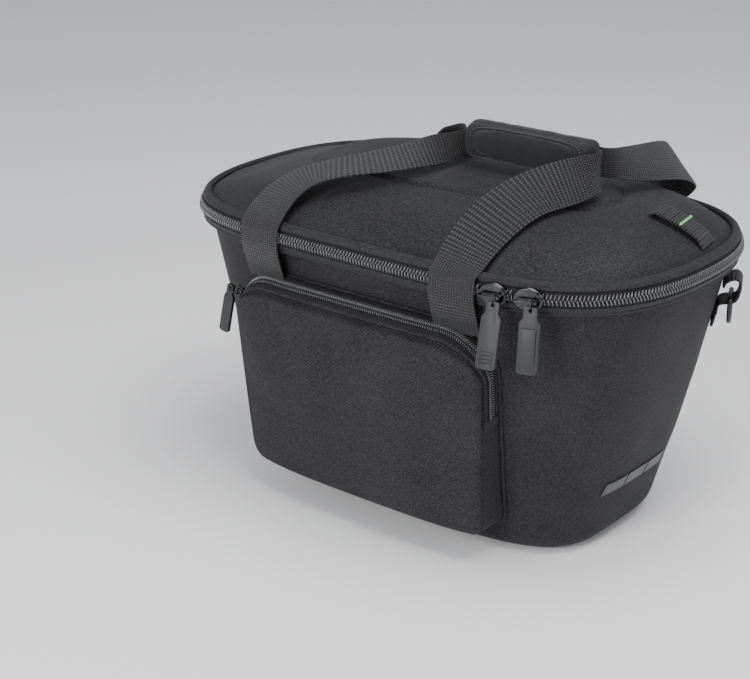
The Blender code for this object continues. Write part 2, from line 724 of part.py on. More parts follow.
def pull_shape(length, width, neck_width, neck_length):
    """A pull's outline: a rounded bar with a narrower neck at its top, hanging from the origin."""
    half = width / 2
    neck = neck_width / 2
    shoulder = -neck_length - PULL_NECK_SLOPE
    round_off = PULL_NECK_RISE / 2
    right = [(half - PULL_CORNER, -length), (half, -length + PULL_CORNER), (half, -length / 2),
             (half, shoulder), (neck, -neck_length), (neck, round_off), (neck - round_off, PULL_NECK_RISE)]
    left = [(-x, y) for x, y in right]
    return [(0.0, -length)] + right + [(0.0, PULL_NECK_RISE)] + list(reversed(left))


def eye(radius, low, points):
    """An eye hole whose corners face those of the outline round it."""
    found = []
    for x, y in points:
        arm = Vector((x, y - low)).normalized()
        found.append((arm.x * radius, low + arm.y * radius))
    return found


def build_pull(name, axle, bar, reach, up, size, tab_material, wire_material, pivot):
    """A pull: a rubber bar that hangs from a wire link through the slider's bridge.

    The link reaches from the bridge's bar in one direction; the bar hangs from its far side.
    """
    length, width, radius, scale = size
    wire = LINK_WIRE * scale
    clear = math.hypot(BRIDGE_BAR, BRIDGE_DEPTH * scale) / 2
    centre = axle + reach * (radius - wire / 2 - clear - GAP)
    side = bar.cross(reach)
    sections = []
    for index in range(16):
        angle = 2 * math.pi * index / 16
        arm = side * math.cos(angle) + reach * math.sin(angle)
        place = centre + arm * radius
        ring = [place + (arm * math.cos(turn) + bar * math.sin(turn)) * wire / 2
                for turn in (0.2 * math.pi + 0.4 * math.pi * corner for corner in range(5))]
        sections.append([pivot_local(point, pivot) for point in ring])
    loft(name + "_link", sections, wire_material, ring=True, parent=pivot)
    outline = pull_shape(length, width, PULL_NECK_WIDTH * width / PULL_WIDTH, PULL_NECK_LENGTH)
    thickness = PULL_THICKNESS * scale
    bow = radius - math.sqrt(radius ** 2 - (thickness / 2) ** 2)
    hole = eye(wire / 2 + bow + GAP, 0.0, outline)
    corner = centre + reach * radius - side * thickness / 2
    frame = (pivot_local(corner, pivot), up.cross(side), up, side)
    return plate(name, outline, hole, frame, thickness, tab_material, parent=pivot)


def pivot_local(point, pivot):
    return point - pivot.location if pivot else point


def add_pivot(name, place):
    """An empty on a joint's axis, which carries the moving pieces."""
    pivot = bpy.data.objects.new(name, None)
    pivot.location = place
    bpy.context.scene.collection.objects.link(pivot)
    return pivot


def build_main_sliders(metal, rubber):
    for number, along in enumerate(SLIDER_PLACES, start=1):
        turn = rim_turn(along)
        normal = outward(rim_oval, turn)
        out = Vector((normal.x, normal.y, 0))
        tangent = Vector((-out.y, out.x, 0))
        up = Vector((0, 0, 1))
        origin = rim_point(turn, 0.0010 + COIL_THICKNESS * 0.35 + GAP * 2, 0.0)
        name = f"slider_{number}"
        build_slider(name, (origin, tangent, up, out), SLIDER_LENGTH, SLIDER_WIDTH, 1.0, metal)
        bar = origin + out * (SLIDER_THICKNESS + GAP + BRIDGE_HEIGHT - BRIDGE_BAR / 2)
        axle = bar + tangent * SLIDER_LENGTH * PULL_SHIFT
        pivot = add_pivot(f"pull_{number}_pivot", axle)
        lean = PULL_LEANS[number - 1]
        hang = out * math.sin(lean) - up * math.cos(lean)
        size = (PULL_LENGTH, PULL_WIDTH, LINK_RADIUS, 1.0)
        build_pull(f"pull_{number}", axle, tangent, hang, -hang, size, rubber, metal, pivot)


def build_pocket_slider(metal, rubber):
    """The pocket's slider, at the left corner of its zip, with a pull that hangs free."""
    height = POCKET_TOP - POCKET_SLIDER_DROP
    side = [row for row in pocket_zip_route() if row[0].x < 0]
    place, normal = min(side, key=lambda row: abs(row[0].y - height))
    out = Vector((normal.x, 0, normal.y))
    tangent = Vector((out.z, 0, -out.x))
    across = Vector((0, -1, 0))
    reach = wall_reach(place.x, place.y) + pocket_depth(place.y) * POCKET_ZIP_PLACE
    lift = POCKET_ZIP_LIFT + POCKET_ZIP_THICKNESS + GAP
    origin = Vector((place.x, -reach, place.y)) + out * lift
    scale = POCKET_ZIP_SCALE
    build_slider("pocket_slider", (origin, tangent, across, out), POCKET_SLIDER_LENGTH, POCKET_SLIDER_WIDTH,
                 scale, metal)
    bar = origin + out * (SLIDER_THICKNESS + GAP + BRIDGE_HEIGHT * scale - BRIDGE_BAR / 2)
    bar -= tangent * POCKET_SLIDER_LENGTH * POCKET_PULL_SHIFT
    up = Vector((math.sin(POCKET_PULL_LEAN), 0, math.cos(POCKET_PULL_LEAN)))
    size = (POCKET_PULL_LENGTH, POCKET_PULL_WIDTH, POCKET_LINK_RADIUS, scale)
    build_pull("pocket_pull", bar, tangent, out, up, size, rubber, metal, None)


def build_ring_tab(name, turn, webbing_material, plastic):
    """A folded webbing tab on a far corner, with a loop that holds a hanging ring."""
    def curve(angle):
        return oval(angle, *wall_sizes(TAB_TOP))
    normal = outward(curve, turn)
    out = Vector((normal.x, normal.y, 0))
    along = Vector((-out.y, out.x, 0))
    half = TAB_THICKNESS / 2
    base = wall_point(turn, TAB_TOP)

    def off_wall(height, off):
        spot = wall_point(turn, height)
        depth = (spot - base).dot(out)
        return base + out * (depth + off) + Vector((0, 0, height - TAB_TOP))
    bow = TAB_WIDTH ** 2 / 8 / TAB_WALL_RADIUS
    seat = GAP + half + bow * 0.2
    knee = TAB_TOP - TAB_LOOP_DROP
    deep = seat + TAB_LOOP_DEPTH
    path = [off_wall(TAB_BOTTOM, seat),
            off_wall(blend(TAB_BOTTOM, knee, 0.5), seat),
            off_wall(knee - 0.003, seat),
            off_wall(knee - 0.001, seat + 0.0015),
            off_wall(knee, blend(seat, deep, 0.45)),
            off_wall(knee + 0.001, blend(seat, deep, 0.85)),
            off_wall(knee + 0.004, deep),
            off_wall(blend(knee, TAB_TOP, 0.6), deep),
            off_wall(TAB_TOP - 0.002, blend(seat, deep, 0.85)),
            off_wall(TAB_TOP, blend(seat, deep, 0.5)),
            off_wall(TAB_TOP - 0.003, seat + 0.001),
            off_wall(TAB_TOP - 0.007, seat)]
    sections = []
    for index, here in enumerate(path):
        ahead = (path[min(index + 1, len(path) - 1)] - path[max(index - 1, 0)]).normalized()
        side = ahead.cross(along)
        edge = TAB_WIDTH / 2
        corners = ((-edge, -half), (edge, -half), (edge, half), (-edge, half))
        sections.append([here + along * x + side * y for x, y in corners])
    loft(name + "_tab", sections, webbing_material)

    wire = RING_WIRE / 2
    axle = off_wall(knee, blend(seat, deep, 0.68)) + Vector((0, 0, half + GAP + wire + RING_SLACK))
    pivot = add_pivot(name + "_pivot", axle)
    bar_half = RING_WIDTH / 2 - wire
    route = [(-bar_half, 0.0), (0.0, 0.0), (bar_half, 0.0)]
    for step in range(9):
        angle = math.pi * step / 8
        drop = wire + RING_SHOULDER + (RING_DROP - wire) * math.sin(angle) ** 0.8
        route.append((bar_half * math.cos(angle), -drop))
    ring_sections = []
    up = Vector((0, 0, 1))
    for index, (x, y) in enumerate(route):
        before = Vector(route[index - 1])
        after = Vector(route[(index + 1) % len(route)])
        ahead = (after - before).normalized()
        outer = Vector((ahead.y, -ahead.x))
        corners = [(math.cos(turn) * wire, math.sin(turn) * wire)
                   for turn in (math.pi * eighth / 4 for eighth in range(8))]
        ring_sections.append([along * (x + outer.x * a) + up * (y + outer.y * a) + out * b
                              for a, b in corners])
    loft(name, ring_sections, plastic, ring=True, parent=pivot)


def light_loop_place(along, across):
    """A place on the lid from its distances along and across the light loop."""
    cos = math.cos(LIGHT_LOOP_TURN)
    sin = math.sin(LIGHT_LOOP_TURN)
    x = LIGHT_LOOP_ALONG + along * cos - across * sin
    y = LIGHT_LOOP_ACROSS + along * sin + across * cos
    return Vector((x, y, lid_height(x, y) + LIGHT_LOOP_SEAT))


def build_light_loop(material):
    """A band of webbing sewn along the lid's rear end, which a light clips to."""
    rows = 14
    half = LIGHT_LOOP_WIDTH / 2
    sections = []
    for step in range(rows + 1):
        share = step / rows
        bow = LIGHT_LOOP_RISE * min(share / LIGHT_LOOP_BEND, (1 - share) / LIGHT_LOOP_BEND, 1.0)
        low = light_loop_place(LIGHT_LOOP_LENGTH * (share - 0.5), -half) + Vector((0, 0, bow))
        high = light_loop_place(LIGHT_LOOP_LENGTH * (share - 0.5), half) + Vector((0, 0, bow))
        thick = Vector((0, 0, LIGHT_LOOP_THICKNESS))
        sections.append([low, high, high + thick, low + thick])
    return loft("light_loop", sections, material)


def end_reach(across, height):
    """How far the rear end's wall stands from the middle, at a place across the bag."""
    half_length, half_width, end_power, side_power = wall_sizes(height)
    fullness = 1 - min(abs(across) / half_width, 0.999) ** side_power
    return half_length * fullness ** (1 / end_power)


def build_reflective_strips(material):
    """Three slanted strips printed in a row on the rear end, low down."""
    columns = 6
    for number in range(3):
        centre = (number - 1) * STRIP_PITCH
        sections = []
        for step in range(columns + 1):
            across = centre + STRIP_LENGTH * (step / columns - 0.5)
            corners = []
            for height, off in ((STRIP_BOTTOM, GAP), (STRIP_BOTTOM + STRIP_HEIGHT, GAP),
                                (STRIP_BOTTOM + STRIP_HEIGHT, GAP + STRIP_THICKNESS),
                                (STRIP_BOTTOM, GAP + STRIP_THICKNESS)):
                skew = STRIP_SLANT * ((height - STRIP_BOTTOM) / STRIP_HEIGHT - 0.5)
                place = across + skew
                corners.append(Vector((end_reach(place, height) + off, place, height)))
            sections.append(corners)
        loft(f"reflector_{number + 1}", sections, material)


def build():
    clear_scene()
    fabric = finish("bag_fabric", (0.012, 0.012, 0.013), 0.85)
    lid_fabric = finish("lid_fabric", (0.014, 0.014, 0.015), 0.8)
    tape = finish("zip_tape", (0.010, 0.010, 0.011), 0.7)
    coil = finish("zip_coil", (0.016, 0.016, 0.018), 0.35)
    strap = finish("webbing", (0.008, 0.008, 0.009), 0.6)
    padding = finish("grip_padding", (0.012, 0.012, 0.016), 0.9)
    metal = finish("slider_metal", (0.25, 0.25, 0.27), 0.3, 1.0)
    rubber = finish("pull_rubber", (0.060, 0.062, 0.068), 0.6)
    plastic = finish("ring_plastic", (0.012, 0.012, 0.012), 0.35)
    reflective = finish("reflective", (0.16, 0.16, 0.17), 0.4)

    build_body(fabric)
    lower, middle, upper = tape_profiles()
    build_band("zip_lower_tape", lower, tape)
    build_band("zip_coil", middle, coil)
    build_band("zip_upper_tape", upper, tape)
    build_lid(lid_fabric)
    build_pocket(fabric)
    build_pocket_zip(coil)
    build_handles(strap)
    build_grip(padding)
    build_main_sliders(metal, rubber)
    build_pocket_slider(metal, rubber)
    build_ring_tab("strap_ring_rear", TAB_TURN, strap, plastic)
    build_ring_tab("strap_ring_front", math.pi - TAB_TURN, strap, plastic)
    build_light_loop(strap)
    build_reflective_strips(reflective)


build()
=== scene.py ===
import json
import math

import bmesh
import bpy
from mathutils import Matrix, Vector, noise


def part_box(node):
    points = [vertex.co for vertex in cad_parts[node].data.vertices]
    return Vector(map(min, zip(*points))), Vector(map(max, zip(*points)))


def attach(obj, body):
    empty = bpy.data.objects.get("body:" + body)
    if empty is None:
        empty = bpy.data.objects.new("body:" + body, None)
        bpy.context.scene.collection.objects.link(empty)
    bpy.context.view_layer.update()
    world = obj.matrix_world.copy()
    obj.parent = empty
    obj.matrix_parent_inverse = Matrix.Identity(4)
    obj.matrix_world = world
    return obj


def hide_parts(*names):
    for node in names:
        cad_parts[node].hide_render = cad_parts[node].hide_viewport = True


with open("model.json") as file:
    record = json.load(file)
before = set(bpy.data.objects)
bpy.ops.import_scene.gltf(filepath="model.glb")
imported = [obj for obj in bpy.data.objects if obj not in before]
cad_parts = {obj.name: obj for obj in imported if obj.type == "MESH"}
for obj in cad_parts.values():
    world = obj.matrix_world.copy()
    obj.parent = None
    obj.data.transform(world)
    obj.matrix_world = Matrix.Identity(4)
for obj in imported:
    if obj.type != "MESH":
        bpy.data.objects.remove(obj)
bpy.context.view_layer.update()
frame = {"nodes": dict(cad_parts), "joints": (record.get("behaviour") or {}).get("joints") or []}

# View of the bag: the camera stands off its near rear corner, a little above it.
# The lens and the distance were fitted to the bag's rim, base and zip.
camera_place = Vector((0.7531, -1.0320, 0.6183))
camera_aim = Vector((-0.08764, 0.0, 0.09758))
camera_data = bpy.data.cameras.new("camera")
camera_data.sensor_width = 36
camera_data.lens = 82.08
camera = bpy.data.objects.new("camera", camera_data)
camera.location = camera_place
camera.rotation_euler = (camera_aim - camera_place).to_track_quat("-Z", "Y").to_euler()
bpy.context.scene.collection.objects.link(camera)
bpy.context.scene.camera = camera

# Studio: a pale room with a large soft light over the bag, one on its near side
# and one behind its rear end.
world = bpy.data.worlds.new("studio")
world.use_nodes = True
world.node_tree.nodes["Background"].inputs["Color"].default_value = (0.93, 0.95, 1.0, 1.0)
world.node_tree.nodes["Background"].inputs["Strength"].default_value = 0.52
bpy.context.scene.world = world
for name, place, aim, size, power in (
        ("top_light", (0.45, -0.10, 1.6), (0.0, 0.0, 0.1), 1.1, 22),
        ("side_light", (0.05, -1.75, 0.80), (0.0, 0.0, 0.12), 0.7, 26),
        ("rear_light", (1.50, 0.10, 0.75), (0.1, 0.0, 0.15), 0.7, 4)):
    light = bpy.data.lights.new(name, "AREA")
    light.size = size
    light.energy = power
    lamp = bpy.data.objects.new(name, light)
    lamp.location = place
    lamp.rotation_euler = (Vector(aim) - Vector(place)).to_track_quat("-Z", "Y").to_euler()
    bpy.context.scene.collection.objects.link(lamp)

# Floor: a plain pale sweep of studio paper, which the bag stands on. It is part of the stage
# and not of the bag.
floor_shape = bmesh.new()
bmesh.ops.create_grid(floor_shape, x_segments=1, y_segments=1, size=6.0)
bmesh.ops.translate(floor_shape, verts=floor_shape.verts, vec=(0, 0, -0.0006))
floor_mesh = bpy.data.meshes.new("floor")
floor_shape.to_mesh(floor_mesh)
floor_shape.free()
floor = bpy.data.objects.new("floor", floor_mesh)
bpy.context.scene.collection.objects.link(floor)
floor_finish = bpy.data.materials.new("floor")
floor_finish.use_nodes = True
floor_shader = floor_finish.node_tree.nodes["Principled BSDF"]
floor_shader.inputs["Base Color"].default_value = (0.95, 0.95, 0.96, 1)
floor_shader.inputs["Roughness"].default_value = 0.7
floor_mesh.materials.append(floor_finish)

# Tub: one lofted skin of coated twill over foam, straight from the small base to the wide rim.
# The base edge is rounded, and the walls swell a little between their seams.
RIM_LENGTH = 0.430
RIM_WIDTH = 0.2654
RIM_END_POWER = 4.58
RIM_SIDE_POWER = 2.38
BASE_LENGTH = 0.308
BASE_WIDTH = 0.1776
BASE_END_POWER = 3.3
BASE_SIDE_POWER = 3.98
BASE_EDGE_RADIUS = 0.015
ZIP_HEIGHT = 0.223
WALL = 0.0025
BAND_OVERHANG = 0.0045
BAND_DROP = 0.0115
ROUND = 240


def blend(start, end, share):
    return start + (end - start) * share


def smooth_step(share):
    share = min(max(share, 0.0), 1.0)
    return share * share * (3 - 2 * share)


def oval(turn, half_length, half_width, end_power, side_power):
    """A point on a rounded rectangle whose ends and sides have their own fullness."""
    x = math.copysign(abs(math.cos(turn)) ** (2 / end_power), math.cos(turn))
    y = math.copysign(abs(math.sin(turn)) ** (2 / side_power), math.sin(turn))
    return Vector((half_length * x, half_width * y))


def rim_oval(turn):
    return oval(turn, RIM_LENGTH / 2, RIM_WIDTH / 2, RIM_END_POWER, RIM_SIDE_POWER)


def outward(curve, turn):
    """The direction that points out of a closed curve, level with the ground."""
    step = 0.002
    along = curve(turn + step) - curve(turn - step)
    return Vector((along.y, -along.x)).normalized()


def evenly(line, count, values=None):
    """So many of a line's points, or of the values that belong to them, at equal steps along it."""
    values = values or line
    lengths = [0.0]
    for start, end in zip(line, line[1:]):
        lengths.append(lengths[-1] + (end - start).length)
    found = []
    index = 0
    for number in range(count):
        target = lengths[-1] * number / (count - 1)
        while index < len(line) - 2 and lengths[index + 1] < target:
            index += 1
        share = (target - lengths[index]) / max(lengths[index + 1] - lengths[index], 1e-9)
        found.append(blend(values[index], values[index + 1], min(share, 1.0)))
    return found


# Fine steps round the rim, closest together at the middle of its long sides
quarter = [math.pi / 2 * (step / 1200) ** 2.3 for step in range(1200)]
fine_turns = []
for side in (math.pi / 2, math.pi * 3 / 2):
    fine_turns += [side + turn for turn in quarter]
    fine_turns += [side + math.pi - turn for turn in [math.pi / 2, *reversed(quarter[1:])]]
fine_turns.append(fine_turns[0] + 2 * math.pi)
fine_rim = [rim_oval(turn) for turn in fine_turns]
rim_length = sum((end - start).length for start, end in zip(fine_rim, fine_rim[1:]))


def rim_turns(count):
    """Turns that divide the rim into stretches of equal length."""
    return evenly(fine_rim, count + 1, fine_turns)[:-1]


def wall_sizes(height):
    """Half length, half width and fullness of the tub at a height."""
    share = height / ZIP_HEIGHT
    half_length = blend(BASE_LENGTH / 2, RIM_LENGTH / 2 - BAND_OVERHANG, share)
    half_width = blend(BASE_WIDTH / 2, RIM_WIDTH / 2 - BAND_OVERHANG, share)
    if height < BASE_EDGE_RADIUS:
        inset = BASE_EDGE_RADIUS - math.sqrt(BASE_EDGE_RADIUS ** 2 - (BASE_EDGE_RADIUS - height) ** 2)
        half_length -= inset
        half_width -= inset
    return (half_length, half_width, blend(BASE_END_POWER, RIM_END_POWER, share),
            blend(BASE_SIDE_POWER, RIM_SIDE_POWER, share))


def wall_swell(place):
    """How far the cloth stands out of the tub's straight wall."""
    share = min(max(place.z / (ZIP_HEIGHT - BAND_DROP), 0.0), 1.0)
    hold = math.sin(math.pi * share) ** 1.5
    folds = 0.0011 * noise.noise(Vector((place.x * 11, place.y * 11, place.z * 7)))
    folds += 0.0005 * noise.noise(place * 34)
    return hold * (0.0012 + folds)


def wall_reach(along, height):
    """How far the long side's wall stands from the middle plane, at a place along the bag."""
    half_length, half_width, end_power, side_power = wall_sizes(height)
    fullness = 1 - min(abs(along) / half_length, 0.999) ** end_power
    return half_width * fullness ** (1 / side_power)


def shaped_grid(columns, rows, place, length, width):
    """Cloth as a grid: place() puts each corner, from its column and row. Its UV map is in metres."""
    shape = bmesh.new()
    cut = shape.loops.layers.uv.new("cloth")
    bmesh.ops.create_grid(shape, x_segments=columns, y_segments=rows, size=0.5, calc_uvs=True)
    for face in shape.faces:
        for loop in face.loops:
            loop[cut].uv = ((loop.vert.co.x + 0.5) * length, (loop.vert.co.y + 0.5) * width)
    for corner in shape.verts:
        corner.co = place(round((corner.co.x + 0.5) * columns), round((corner.co.y + 0.5) * rows))
    bmesh.ops.remove_doubles(shape, verts=shape.verts, dist=0.00001)
    bmesh.ops.recalc_face_normals(shape, faces=shape.faces)
    return shape


def made_piece(name, shape, finish, body, stands_for=(), slot=None):
    """Makes a piece of a bmesh, gives it its finish and fastens it to a body of the frame."""
    mesh = bpy.data.meshes.new(name)
    shape.to_mesh(mesh)
    shape.free()
    mesh.shade_smooth()
    mesh.set_sharp_from_angle(angle=math.radians(60))
    mesh.materials.append(finish)
    piece = bpy.data.objects.new(name, mesh)
    bpy.context.scene.collection.objects.link(piece)
    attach(piece, body)
    if stands_for:
        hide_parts(*stands_for)
    return piece


def plain_finish(name, roughness, specular, sheen=0.0, metallic=0.0):
    """A material, with its node tree, its shader and its coordinates for more nodes to join."""
    finish = bpy.data.materials.new(name)
    finish.use_nodes = True
    shader = finish.node_tree.nodes["Principled BSDF"]
    shader.inputs["Roughness"].default_value = roughness
    shader.inputs["Specular IOR Level"].default_value = specular
    shader.inputs["Sheen Weight"].default_value = sheen
    shader.inputs["Sheen Roughness"].default_value = 0.5
    shader.inputs["Metallic"].default_value = metallic
    return finish, finish.node_tree, shader, finish.node_tree.nodes.new("ShaderNodeTexCoord").outputs


def threads(tree, coordinates, pitch, angle, slope):
    """Threads as soft bands side by side, from their pitch in metres, angle and slope."""
    turned = tree.nodes.new("ShaderNodeMapping")
    turned.inputs["Rotation"].default_value = (0, math.radians(slope), math.radians(angle))
    tree.links.new(coordinates, turned.inputs["Vector"])
    wave = tree.nodes.new("ShaderNodeTexWave")
    wave.wave_type = "BANDS"
    wave.bands_direction = "X"
    wave.inputs["Scale"].default_value = 2 * math.pi / 20 / pitch
    tree.links.new(turned.outputs["Vector"], wave.inputs["Vector"])
    return wave.outputs["Fac"]


def specks(tree, coordinates, size, detail=2.0):
    """Soft random spots of a size in metres."""
    spots = tree.nodes.new("ShaderNodeTexNoise")
    spots.inputs["Scale"].default_value = 1 / size
    spots.inputs["Detail"].default_value = detail
    tree.links.new(coordinates, spots.inputs["Vector"])
    return spots.outputs["Fac"]


def weighed(tree, parts):
    """The sum of outputs, each times its weight."""
    total = None
    for output, weight in parts:
        part = tree.nodes.new("ShaderNodeMath")
        part.operation = "MULTIPLY"
        part.inputs[1].default_value = weight
        tree.links.new(output, part.inputs[0])
        if total is None:
            total = part.outputs[0]
            continue
        both = tree.nodes.new("ShaderNodeMath")
        both.operation = "ADD"
        tree.links.new(total, both.inputs[0])
        tree.links.new(part.outputs[0], both.inputs[1])
        total = both.outputs[0]
    return total


def shaded(tree, shader, amount, dark, light, low=0.0, high=1.0):
    """Colours a surface from dark to light as an amount goes from low to high."""
    ramp = tree.nodes.new("ShaderNodeValToRGB")
    ramp.color_ramp.elements[0].position = low
    ramp.color_ramp.elements[0].color = (*dark, 1)
    ramp.color_ramp.elements[1].position = high
    ramp.color_ramp.elements[1].color = (*light, 1)
    tree.links.new(amount, ramp.inputs["Fac"])
    tree.links.new(ramp.outputs["Color"], shader.inputs["Base Color"])


def raised(tree, shader, amount, depth):
    """Raises a surface by an amount times a depth in metres."""
    bump = tree.nodes.new("ShaderNodeBump")
    bump.inputs["Distance"].default_value = depth
    tree.links.new(amount, bump.inputs["Height"])
    tree.links.new(bump.outputs["Normal"], shader.inputs["Normal"])


def cloth_finish(name, surface, yarns, lint, depth, dark, light, low, high, patches=None, slope=0):
    """Cloth: sets of threads over soft lint, raised together and coloured from the same pattern, so
    the colour is darker in the threads' valleys as painted shade, over the lint's and patches' own random
    tone.

    Surface is roughness, shine and sheen, and each yarn is the pitch, angle and weight of its
    threads. Lint is its size, detail and weight, and patches are wide spots of another tone. On
    cloth with a slope the threads run through the solid, and otherwise over its flat map.
    """
    finish, tree, shader, source = plain_finish(name, *surface)
    flat = source["Object" if slope else "UV"]
    parts = [(threads(tree, flat, pitch, angle, slope), weight) for pitch, angle, weight in yarns]
    cloth = weighed(tree, parts + [(specks(tree, source["Object"], *lint[:2]), lint[2])])
    colour = cloth
    if patches:
        colour = weighed(tree, [(cloth, 0.8), (specks(tree, source["Object"], patches, 3.0), 0.2)])
    # Painted shade: the colour is darker where the threads lie low, over the random tone of lint and
    # patches.
    shaded(tree, shader, colour, dark, light, low, high)
    raised(tree, shader, cloth, depth)
    return finish


def thickened(piece, name, thickness, side=-1.0):
    """Gives a skin its thickness: inwards, or outwards with a side of 1."""
    wall = piece.modifiers.new(name, "SOLIDIFY")
    wall.thickness = thickness
    wall.offset = side


turns = rim_turns(ROUND)
base_shares = [0.0, 0.2, 0.4, 0.6, 0.8, 0.93]
edge_heights = [BASE_EDGE_RADIUS * (1 - math.cos(math.radians(angle))) for angle in range(0, 90, 15)]
wall_heights = [blend(BASE_EDGE_RADIUS, ZIP_HEIGHT - BAND_DROP, step / 52) for step in range(53)]
tub_rows = [(share, 0.0) for share in base_shares]
tub_rows += [(1.0, height) for height in edge_heights + wall_heights]


def tub_corner(column, row):
    share, height = tub_rows[row]
    turn = turns[column % ROUND]
    sizes = wall_sizes(height)

    def curve(angle):
        return oval(angle, *sizes)
    flat = curve(turn)
    place = Vector((flat.x, flat.y, height))
    out = outward(curve, turn)
    swell = wall_swell(place) * share
    return Vector(((flat.x + out.x * swell) * share, (flat.y + out.y * swell) * share, height))


tub_finish = cloth_finish("twill", (0.7, 0.25, 0.03), [(0.0019, 52, 0.15), (0.0019 * 0.55, -20, 0.09)],
                          (0.0014, 2.0, 0.76), 0.0008, (0.002, 0.002, 0.0025), (0.028, 0.027, 0.031),
                          0.39, 0.62, patches=0.045)
tub = made_piece("tub", shaped_grid(ROUND, len(tub_rows) - 1, tub_corner, rim_length, 0.30),
                 tub_finish, "bag", ["bag_body"], "bag_fabric")
thickened(tub, "wall", WALL * 0.9)

# Zip tapes round the rim: the lower one is sewn over the tub's edge with a round piping at its
# foot, and the upper one rolls over to the lid. Both are woven tape with a row of stitches.
COIL_HEIGHT = 0.0105
TAPE_GAP = 0.0004
half_coil = COIL_HEIGHT / 2
tape_low = -half_coil - TAPE_GAP
tape_high = half_coil + TAPE_GAP
LID_INSET = 0.0072


def rim_point(turn, outset, rise):
    """A point given by its distance out of and above the zip's middle line."""
    place = rim_oval(turn) + outward(rim_oval, turn) * outset
    return Vector((place.x, place.y, ZIP_HEIGHT + rise))


def smooth_line(points, steps, closed=False):
    """A smooth line through points, with so many steps from one to the next."""
    count = len(points)
    line = []
    for index in range(count if closed else count - 1):
        if closed:
            near = [points[(index + turn) % count] for turn in (-1, 0, 1, 2)]
        else:
            near = [points[min(max(index + turn, 0), count - 1)] for turn in (-1, 0, 1, 2)]
        for step in range(steps):
            t = step / steps
            line.append([0.5 * (2 * b + (c - a) * t + (2 * a - 5 * b + 4 * c - d) * t ** 2
                                + (3 * b - a - 3 * c + d) * t ** 3) for a, b, c, d in zip(*near)])
    if not closed:
        line.append(list(points[-1]))
    return line


def rim_band(name, profile, finish, stands_for, slot):
    """A band right round the rim, from its profile of outsets and rises."""
    outline = smooth_line(profile, 4, closed=True)
    count = len(outline)

    def corner(column, row):
        outset, rise = outline[row % count]
        return rim_point(turns[column % ROUND], outset, rise)
    width = sum((Vector(a) - Vector(b)).length for a, b in zip(outline, outline[1:] + outline[:1]))
    shape = shaped_grid(ROUND, count, corner, rim_length, width)
    return made_piece(name, shape, finish, "bag", stands_for, slot)


def beads(frames, fineness):
    """Small rounded bars, one for each frame, made in short runs that are then put together."""
    whole = bmesh.new()
    run_mesh = bpy.data.meshes.new("run")
    for first in range(0, len(frames), 40):
        run = bmesh.new()
        for place in frames[first:first + 40]:
            bmesh.ops.create_icosphere(run, subdivisions=fineness, radius=1.0, matrix=place)
        bmesh.ops.recalc_face_normals(run, faces=run.faces)
        run.to_mesh(run_mesh)
        run.free()
        whole.from_mesh(run_mesh)
    bpy.data.meshes.remove(run_mesh)
    return whole


def bar_frame(middle, ahead, side, normal):
    """The frame of a rounded bar, from its middle and its three half sizes as vectors."""
    return Matrix.Translation(middle) @ Matrix((ahead, side, normal)).transposed().to_4x4()


def stitches(name, places, length, thick, finish):
    """A row of stitches: rounded bars, each with its middle, its direction and the cloth's normal."""
    frames = []
    for middle, ahead, normal in places:
        side = ahead.cross(normal).normalized()
        frames.append(bar_frame(middle, ahead * length / 2, side * thick / 2,
                                side.cross(ahead) * thick / 2))
    return made_piece(name, beads(frames, 1), finish, "bag")


def tape_finish(name, dark, light):
    """Woven tape: fine cross ribs under soft lint."""
    return cloth_finish(name, (0.62, 0.3, 0.04), [(0.0012, 25, 0.3)], (0.0020, 2.0, 0.7), 0.0006,
                        dark, light, 0.38, 0.64)


def speckled_finish(name, roughness, specular, size, dark, light, detail=2.0, metallic=0.0, grain=None):
    """A plain material with soft spots of a size in metres. Grain is its raised spots' size and depth."""
    finish, tree, shader, source = plain_finish(name, roughness, specular, metallic=metallic)
    shaded(tree, shader, specks(tree, source["Object"], size, detail), dark, light)
    if grain:
        raised(tree, shader, specks(tree, source["Object"], grain[0]), grain[1])
    return finish


tape = tape_finish("zip_tape", (0.002, 0.002, 0.0025), (0.026, 0.026, 0.029))
seat = -BAND_DROP
inner = -BAND_OVERHANG - WALL
lower_profile = [
    (inner + 0.0012, seat + 0.0004), (-BAND_OVERHANG + 0.0004, seat + 0.0002),
    (-0.0022, seat - 0.0006), (-0.0006, seat + 0.0004), (-0.0009, seat + 0.0018),
    (0.0000, seat + 0.0034), (0.0008, tape_low), (-0.0016, tape_low), (-0.0022, seat + 0.0022)]
rim_band("lower_tape", lower_profile, tape, ["zip_lower_tape"], "zip_tape")
upper_profile = [(outset, tape_high + rise) for outset, rise in (
    (-0.0008, 0.0), (-0.0009, 0.0016), (-0.0022, 0.0036), (-0.0046, 0.0050),
    (-LID_INSET + 0.0014, 0.0051), (-LID_INSET, 0.0036), (-LID_INSET, 0.0018),
    (-0.0052, 0.0014), (-0.0034, 0.0))]
rim_band("upper_tape", upper_profile, tape, ["zip_upper_tape"], "zip_tape")
thread_finish = speckled_finish("thread", 0.5, 0.4, 0.0006, (0.012, 0.012, 0.013), (0.035, 0.035, 0.038))
STITCH_PITCH = 0.0032
STITCH_THICKNESS = 0.0006


def rim_stitches(name, outset, rise, lean):
    """Stitches round the rim at an outset and rise, on cloth that leans back from upright."""
    count = round(rim_length / STITCH_PITCH)
    places = []
    for turn in rim_turns(count):
        flat = outward(rim_oval, turn)
        out = Vector((flat.x, flat.y, 0))
        normal = (out * math.cos(lean) + Vector((0, 0, math.sin(lean)))).normalized()
        places.append((rim_point(turn, outset, rise), Vector((-out.y, out.x, 0)), normal))
    return stitches(name, places, STITCH_PITCH * 0.72, STITCH_THICKNESS, thread_finish)


rim_stitches("lower_tape_stitches", -0.0002, seat + 0.0034, 0.2)
rim_stitches("upper_tape_stitches", -0.0046, tape_high + 0.0050, 1.1)
